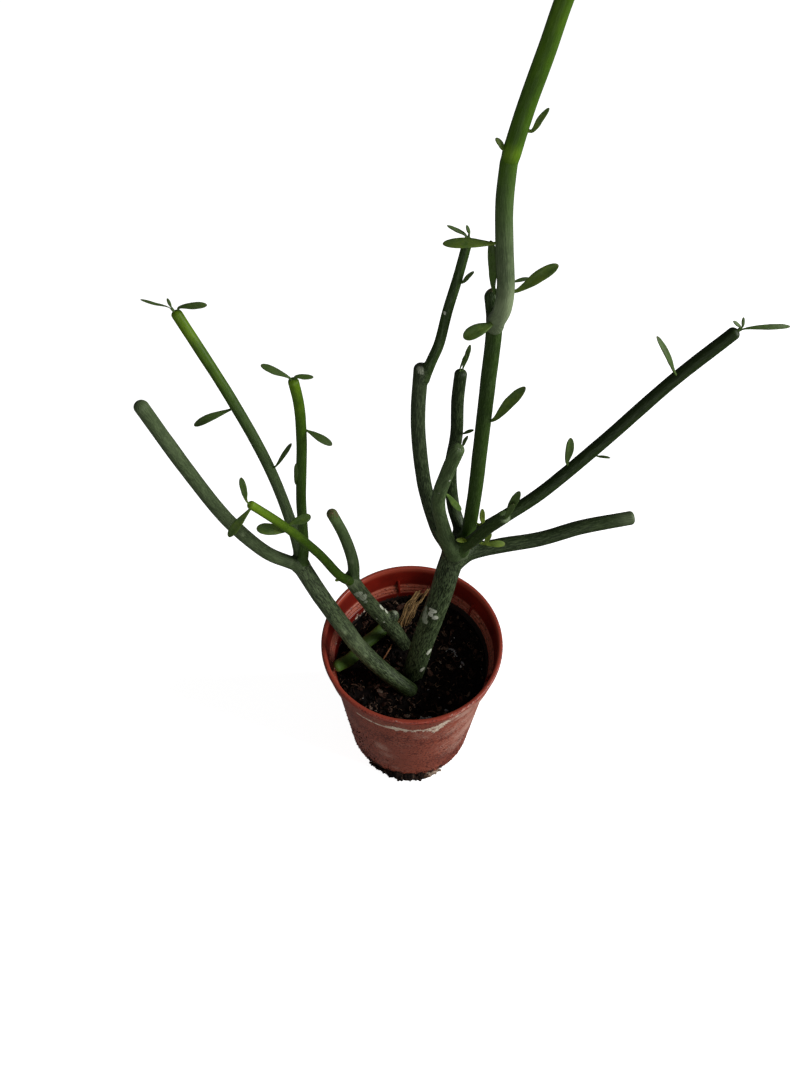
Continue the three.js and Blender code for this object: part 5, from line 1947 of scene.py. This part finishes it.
RIGHT_CUTTING = (
    Stem("right_trunk", "old_stem", (5.6, 5.1),
        ((-1.5, -4, 50), (1, -4, 66), (6, -4, 102), (12, -4, 138), (15, -4, 161), (18, -4, 178)),
        youth=((0, 0.15), (0.5, 0.08), (1, 0.03)), fine=True, deep=(0.35, 0.1),
        blemishes=(
            Blemish(GREY, (5.2, -6.2, 130), 1.3, 1, 0.1, 2),
            Blemish(GREY, (5.3, -6.8, 126), 1.7, 1.2, 0.15, 1.7),
            Blemish(GREY, (5.4, -7.4, 122.5), 1.8, 1.2, 0.15, 1.2),
            Blemish(SAP, (8.8, -8.8, 132.8), 2.1, 1.1, 0.4, 0.8),
            Blemish(SAP, (7.9, -8.6, 129.8), 1.5, 1, 0.25, 1.5),
            Blemish(SAP, (9.9, -9.4, 127.8), 1.8, 1, 0.3, 1.1),
            Blemish(SAP, (8.4, -8.3, 95), 1.6, 1.1, 0.2, 1.9),
            Blemish(SAP, (5.4, -8.9, 78), 1.6, 1.1, 0.2, 1.3), Blemish(BLOOM, (20, -8, 175), 4, 0.4))),
    Stem("right_main_stem", "stem", (2.9, 2.55),
        ((18, -4, 171), (21, -2.5, 180), (22.5, 0, 199), (23, 2, 230.5), (23, 2, 258.5), (22.5, 0, 284.5),
         (21, 1.5, 294)),
        youth=((0, 0.45), (0.1, 0.55), (0.4, 0.45), (0.85, 0.4), (1, 0.25)), deep=(0.42, 0.3),
        leaves=(
            Leaf((25.5, 1, 241), (35, -2, 259.5), 3.8, 0.6, 0.55),
            Leaf((26.4, -3.5, 188), (25.6, -4.5, 199.5), 2.3, 0.5, 0.9)),
        blemishes=(
            Blemish(FRESH, (20.5, -6, 178), 2.6, 0.25), Blemish(BROWN, (20.5, 2, 294.5), 2.2, 0.7, 0.1))),
    Stem("right_front_stem", "stem", (2.8, 2.3),
        ((17, -6, 171), (14.5, -9.5, 181), (10, -14, 201), (7.5, -19, 221.5), (9.5, -23, 239.5),
         (12.5, -26, 255.5)),
        youth=((0, 0.15), (0.55, 0.2), (1, 0.28)), flatness=0.6, bloom=(0.1, 0.14),
        leaves=(Leaf((9.7, -18, 223.5), (16.5, -14, 209.5), 2.4, 0.6, 0.45),),
        blemishes=(
            Blemish(SAP, (7.5, -23, 230.5), 1.2, 0.75, 0.22, 0.45),
            Blemish(SAP, (10.5, -25, 238.5), 0.5, 1, 0.1, 1.3),
            Blemish(SAP, (12.9, -27.6, 256.4), 2.5, 1, 0.25, 0.6))),
    Stem("right_left_stem", "stem", (2.85, 2.4),
        ((16, -5, 170), (12.5, -6.5, 180), (8.7, -9, 191.5), (3.2, -10, 216.5), (0.6, -9, 236.5),
         (-0.3, -7, 251), (0.3, -4, 269)),
        youth=((0, 0.05), (1, 0.15)), cap=0.4, flatness=0.6, bloom=(-0.04, 0.06), deep=(0.66, 0.58),
        blemishes=(Blemish(GREY, (0.2, -6.2, 270), 2.4, 0.6, 0.1),)),
    Stem("right_left_young_stem", "stem", (1.8, 1.45),
        ((1, -5, 263.5), (3.4, -4.5, 271.5), (5.6, -3, 277), (8, 0, 288), (10.5, 2, 298), (13, 4, 310)),
        youth=((0, 0.3), (1, 0.5)), deep=(0.5, 0.45),
        leaves=(
            Leaf((12, 4, 310.5), (6.5, 4, 313.5), 1.2, 0.3), Leaf((13, 4, 311), (12, 3.5, 314), 1.1, 0.1),
            Leaf((11.7, 1, 297), (15, 0, 301.5), 1.4, 0.2)),
        blemishes=(Blemish(SAP, (7, -1.5, 288), 0.7, 0.9, 0.15),)),
    Stem("right_back_stem", "stem", (2.7, 2.3),
        ((18, -2.5, 171), (18.5, 2.5, 177), (15.5, 8, 186), (13.5, 12, 203.5), (15, 15, 219.5),
         (14.5, 16, 236.5), (15, 17, 250)),
        youth=((0, 0.25), (1, 0.25)), deep=(0.65, 0.6),
        leaves=(
            Leaf((17, 14, 221.5), (21, 11, 226.5), 1.4, 0.3),
            Leaf((17, 13, 215.5), (19, 11, 223.5), 1.4, 0.4),
            Leaf((15.5, 17, 250.5), (17.5, 18, 260.5), 1.8, 0.4),
            Leaf((14.5, 16.5, 251), (16, 14.5, 259), 1.3, -1.6))),
    Stem("right_long_stem", "stem", (2.8, 2.45),
        ((18, -3, 170.5), (24, 1.5, 174.5), (38, 8, 180.5), (51, 13, 188.5), (72, 20, 210),
         (94.7, 27, 237), (114, 32, 257.2)),
        youth=((0, 0.4), (0.5, 0.45), (1, 0.5)), deep=(0.66, 0.73),
        leaves=(
            Leaf((60.5, 17, 202), (59.5, 18, 216), 3.4, 0.6), Leaf((72, 19, 205), (77, 17, 206), 1.2, 0.2),
            Leaf((95, 26.5, 241), (83, 25, 259.5), 2.4, 1),
            Leaf((115.5, 32, 257.5), (132, 32, 259), 2.1, 0.8),
            Leaf((114, 31.5, 258.5), (110, 30, 262.5), 1.4, 0.3),
            Leaf((115, 32, 258.5), (114.5, 33, 262), 1.2, 0.1))),
    Stem("right_low_stem", "stem", (3.3, 2.9),
        ((17, -4, 165), (24, -2, 168), (35.5, 0, 170), (52.5, 2, 172.5), (68.5, 4, 178), (90, 6, 182.6)),
        youth=((0, 0.15), (0.3, 0.25), (0.9, 0.3), (1, 0.2)), cap=0.6, flatness=0.6, bloom=(0, 0.04),
        deep=(0.65, 0.6),
        blemishes=(Blemish(GREY, (92.6, 5, 184), 2.6, 0.95, 0.15), Blemish(BLOOM, (88, 5, 184), 5, 0.3))),
    Stem("right_cut_stem", "stem", (2.55, 2.4),
        ((18.5, -5, 171.5), (19.5, -8.5, 180.5), (22.5, -12.5, 190), (26.5, -18, 204.5),
         (31, -24.5, 219.5)),
        youth=((0, 0.4), (1, 0.4)), deep=(0.45, 0.4), cap=0.35, flatness=0.5,
        leaves=(
            Leaf((31, -25.5, 221), (34, -27, 236), 2.9, -0.6),
            Leaf((31, -25.5, 219.5), (32.5, -28, 230.5), 2.2, -0.5),
            Leaf((26.6, -13.4, 188.4), (28.5, -15.5, 198.5), 2.1, 0.5, 0.8),
            Leaf((27, -12.5, 187.6), (35, -13.2, 188.6), 2.7, 0.6, 0.75),
            Leaf((20.5, -12, 189), (15.5, -16, 194.5), 2, 0.3, 0.95)),
        blemishes=(Blemish(BLOOM, (32, -26.4, 219), 2.2, 1.1, 0.2, 0.5),)),
    Stem("right_upper_stem", "stem", (2.75, 2.3),
        ((22.5, -2, 282.5), (22.5, -4.5, 287.5), (23.5, -7, 293.5), (23.5, -8.5, 302), (22, -8, 313.5),
         (20.5, -8, 328), (20.5, -8, 339.5)),
        youth=((0, 0.05), (0.5, 0.15), (0.75, 0.4), (1, 0.64)), bloom=(0.6, 0),
        # painted sheen: the strong pale film near its root, where light falls on it
        leaves=(
            Leaf((21, -7, 288.5), (12.5, -10, 285.5), 4.2, 0.4, 0.45),
            Leaf((26.5, -8.5, 301), (37.5, -7.5, 309), 3.5, 0.5, 0.6),
            Leaf((26, -7.5, 303.5), (30, -6.5, 304), 1.1, 0.1),
            Leaf((21, -6, 298.5), (18, -7, 316), 2.8, 0.4, 0.35),
            Leaf((19, -8.5, 316), (5, -9, 316), 2.9, 0.3, 0.6)),
        # painted highlight: a pale patch on the lit right face
        blemishes=(Blemish(BLOOM, (25, -9.5, 294.5), 3.6, 0.9, 0.05, 2),)),
    Stem("right_top_stem", "young_stem", (2.4, 1.8),
        ((20.5, -8, 338), (22, -8, 346), (23.5, -8, 353), (26, -9, 364), (28, -10, 374), (32.5, -12, 392),
         (37, -14, 409)),
        youth=((0, 0.66), (1, 0.72)),
        leaves=(
            Leaf((19, -8.5, 341.5), (16.5, -9, 344.5), 1.5, 0.2, 0.7),
            Leaf((25, -8.5, 346), (28.5, -8.5, 351.5), 1.6, 0.3, 0.6),
            Leaf((36.5, -15, 410), (30.5, -18, 417), 2.2, 0.6, 0.5),
            Leaf((38, -14, 409.5), (45.5, -13, 416.5), 2.2, 0.6, 0.5),
            Leaf((37, -13, 410), (36.5, -11, 417.5), 1.6, 0.3, 0.5)),
        blemishes=(Blemish(FRESH, (20.5, -10.5, 341.5), 2.6, 0.3, 0.15),)),
)

LEFT_CUTTING = (
    Stem("left_trunk", "old_stem", (4.2, 3.9),
        ((2, -14.5, 62.5), (-1.5, -14, 66.5), (-14, -10.5, 79.5), (-25.5, -7, 96), (-32.5, -4, 109.5),
         (-43, 0, 132.5), (-51, 4, 152)),
        youth=((0, 0.4), (0.15, 0.25), (0.6, 0.15), (1, 0.15)), fine=True, bloom=(0, 0.14),
        deep=(0.5, 0.15),
        blemishes=(
            Blemish(BLOOM, (-25.5, -5.5, 103.5), 4.5, 0.3, 0, 2),
            Blemish(BLOOM, (-32, -7.5, 111.5), 1.1, 0.7, 0.35, 1.6),
            Blemish(BLOOM, (-22.5, -11, 95), 1, 0.4, 0.3, 1.4),
            Blemish(BLOOM, (-20, -13, 87.5), 1, 0.35, 0.25, 1.3))),
    Stem("left_outer_stem", "stem", (2.9, 2.55),
        ((-49.5, 3, 149), (-54, 1, 155), (-62, -2, 165.5), (-73.5, -6, 192), (-82.5, -8, 222),
         (-91.5, -10, 258)),
        youth=((0, 0.15), (1, 0.22)), cap=1, bloom=(0.2, 0.22), deep=(0.15, 0.25),
        blemishes=(
            Blemish(BLOOM, (-69, -7, 184.5), 0.9, 0.5, 0.3, 1.2),
            Blemish(BLOOM, (-52.5, -0.5, 157.5), 1.6, 0.4, 0.2, 0.4))),
    Stem("left_upright_stem", "young_stem", (2.15, 1.85),
        ((-49.5, 3.5, 148), (-47.5, 3, 160.5), (-45.5, 3, 194.5), (-42, 2, 229.5), (-41, 0, 248.5),
         (-41.5, -2, 261.5)),
        youth=((0, 0.35), (0.4, 0.5), (0.7, 0.5), (0.9, 0.8), (1, 0.95)), deep=(0, 0.12),
        leaves=(
            Leaf((-42.5, -2, 262), (-51.5, -1, 266.5), 2.5, 0.4, 0.35),
            Leaf((-40.5, -2, 262.5), (-34.6, -2, 262.5), 1.9, 0.2, 0.35),
            Leaf((-39.5, 1, 235), (-30.5, -2, 231), 2.9, 0.6),
            Leaf((-46.2, 2, 205), (-45, 1, 218), 1.8, 0.3))),
    Stem("left_tall_stem", "young_stem", (2.45, 2.05),
        ((-50.5, 4.5, 148.5), (-50.7, 7, 158), (-53.6, 12, 173.5), (-60, 19, 196.5), (-71, 27, 223.5),
         (-87.7, 36, 259.5)),
        youth=((0, 0.25), (0.35, 0.3), (0.6, 0.5), (0.85, 0.78), (1, 0.95)), bloom=(0.2, -0.06),
        deep=(0.15, 0.2),
        leaves=(
            Leaf((-72.5, 26, 221), (-87, 22, 216), 3.2, 1.4),
            Leaf((-57.5, 18, 197), (-49, 18, 211), 2, -0.8),
            Leaf((-89, 35.5, 261), (-98.8, 36, 264), 1.1, -0.4),
            Leaf((-88.5, 36, 261), (-89.5, 37, 264), 1.2, 0.1),
            Leaf((-86, 36, 260.5), (-75.5, 36, 262), 2.6, 0.6))),
)

MIDDLE_CUTTING = (
    Stem("middle_trunk", "old_stem", (4, 3.5),
        ((-0.5, 11.5, 59), (-3.5, 12, 65), (-10, 11, 85.5), (-20.5, 10, 108), (-30, 9, 133.5)),
        youth=((0, 0.2), (0.6, 0.16), (1, 0.2)), fine=True, bloom=(0, 0.12), deep=(0.75, 0.35),
        stubs=(Stub((-13, 11, 88.5), (-8.8, 12.2, 96.4), 3.2),),
        blemishes=(
            Blemish(GREY, (-25.6, 6, 123), 2.1, 1.1, 0.2), Blemish(GREY, (-23.4, 6, 119.8), 2.2, 1.1, 0.2),
            Blemish(GREY, (-22.5, 6.5, 116), 1.1, 0.9, 0.1),
            Blemish(SAP, (-15.4, 10.5, 105), 1.3, 0.9, 0.15, 2.4),
            Blemish(SAP, (-13.2, 11.2, 100.4), 1.6, 0.9, 0.15, 1.4),
            Blemish(SAP, (-17.5, 6.5, 100.5), 0.6, 0.9, 0.1), Blemish(SAP, (-14, 7, 97), 0.55, 0.9, 0.1),
            Blemish(SAP, (-14, 7.5, 89.5), 0.5, 0.9, 0.1), Blemish(GREY, (-8.2, 12.4, 98), 2.2, 0.6, 0.05),
            Blemish(BLOOM, (-29.5, 7, 131), 4, 0.5))),
    Stem("middle_young_stem", "young_stem", (2.2, 1.6),
        ((-28.5, 7.5, 131), (-32.5, 4.5, 139), (-40, -3, 166.5), (-47.5, -11, 191), (-54.5, -16, 207.5),
         (-60, -19, 218)),
        youth=((0, 0.6), (0.3, 0.62), (0.6, 0.74), (0.85, 0.95), (1, 1)), deep=(0.3, 0.25),
        leaves=(
            Leaf((-60.5, -19, 219), (-61, -18, 231), 2.5, 0.3, 0.5),
            Leaf((-60, -19.5, 215.5), (-69.5, -22, 202.5), 3.3, 0.6, 0.55),
            Leaf((-50, -12.5, 194.5), (-60.8, -14, 197.5), 4.6, 0.4, 0.5),
            Leaf((-48, -12, 198), (-40.2, -9.5, 199.8), 3.7, 0.4, 0.45),
            Leaf((-33, 4, 138.5), (-35.5, 2.5, 139), 1.6, 0.1, 0.8)),
        blemishes=(Blemish(BROWN, (-31, 5, 136), 2.2, 0.9, 0.05, 0.3),)),
    Stem("middle_finger", "stem", (2.8, 2.4),
        ((-28, 10, 130), (-27.5, 11, 138), (-28.4, 12.5, 145.5), (-31.7, 16, 156.5), (-37.3, 21, 167)),
        youth=((0, 0.2), (0.5, 0.25), (1, 0.75)), cap=1, bloom=(0.06, 0.3),
        blemishes=(
            Blemish(BROWN, (-36.4, 18.8, 168), 5, 0.56, 0.1), Blemish(BROWN, (-34, 19.2, 166), 3, 0.54),
            Blemish(BLOOM, (-28, 9.5, 144), 1.2, 0.4, 0.15))),
)

LOW_SHOOT = (
    Stem("low_shoot", "stem", (3.4, 3.1),
        ((-11, 27, 63), (-12.5, 23, 69.5), (-19, 14, 72), (-24, 8.5, 73.5), (-31.5, -3, 76.5),
         (-35.5, -7.5, 80), (-38, -11, 83)),
        youth=((0, 0.3), (0.3, 0.55), (0.8, 0.6), (1, 0.6)), cap=1, depth=0.68, bloom=(0.05, 0.08),
        flatness=0.8,
        leaves=(Leaf((-25, 8, 77), (-27.4, 5.4, 89), 1.2, 0.6, 0.9),),
        blemishes=(
            Blemish(SAP, (-38.4, -11.4, 82.5), 0.8, 0.8, 0.1),
            Blemish(SAP, (-37, -12.5, 82), 0.7, 0.7, -0.4),
            Blemish(SAP, (-35.2, -11.5, 79), 0.6, 0.8, -0.5),
            Blemish(SAP, (-33.5, -9.6, 77.4), 0.6, 0.8, -0.5),
            Blemish(SAP, (-31, -8, 75.8), 0.7, 0.9, -0.5))),
)

WELDS = (
    Weld((18, -4, 174), 26, 3.6, (
        "right_trunk", "right_main_stem", "right_front_stem", "right_left_stem", "right_back_stem",
        "right_long_stem", "right_low_stem", "right_cut_stem")),
    Weld((1, -5, 266), 8, 1.4, ("right_left_stem", "right_left_young_stem")),
    Weld((22.5, -2, 287), 12, 2, ("right_main_stem", "right_upper_stem")),
    Weld((20.5, -8, 339), 8, 1.2, ("right_upper_stem", "right_top_stem")),
    Weld((-50, 4, 150), 16, 2.4, ("left_trunk", "left_outer_stem", "left_upright_stem", "left_tall_stem")),
    Weld((-29, 9, 132), 13, 2.2, ("middle_trunk", "middle_finger")),
    Weld((-11, 12, 92), 9, 1.4, ("middle_trunk",)),
)


def main() -> None:
    """Build the studio, the plant, the pot, the soil and the dead bits, in that order."""
    logging.basicConfig(level=logging.INFO, format="%(name)s: %(message)s")
    Studio().make()
    plant = Plant(RIGHT_CUTTING + LEFT_CUTTING + MIDDLE_CUTTING + LOW_SHOOT, WELDS)
    plant.make()
    pot = NurseryPot()
    pot.make()
    PottingSoil(pot, plant).make()
    DryStalk().make()
    FootCrust(pot).make()


if __name__ == "__main__":
    main()
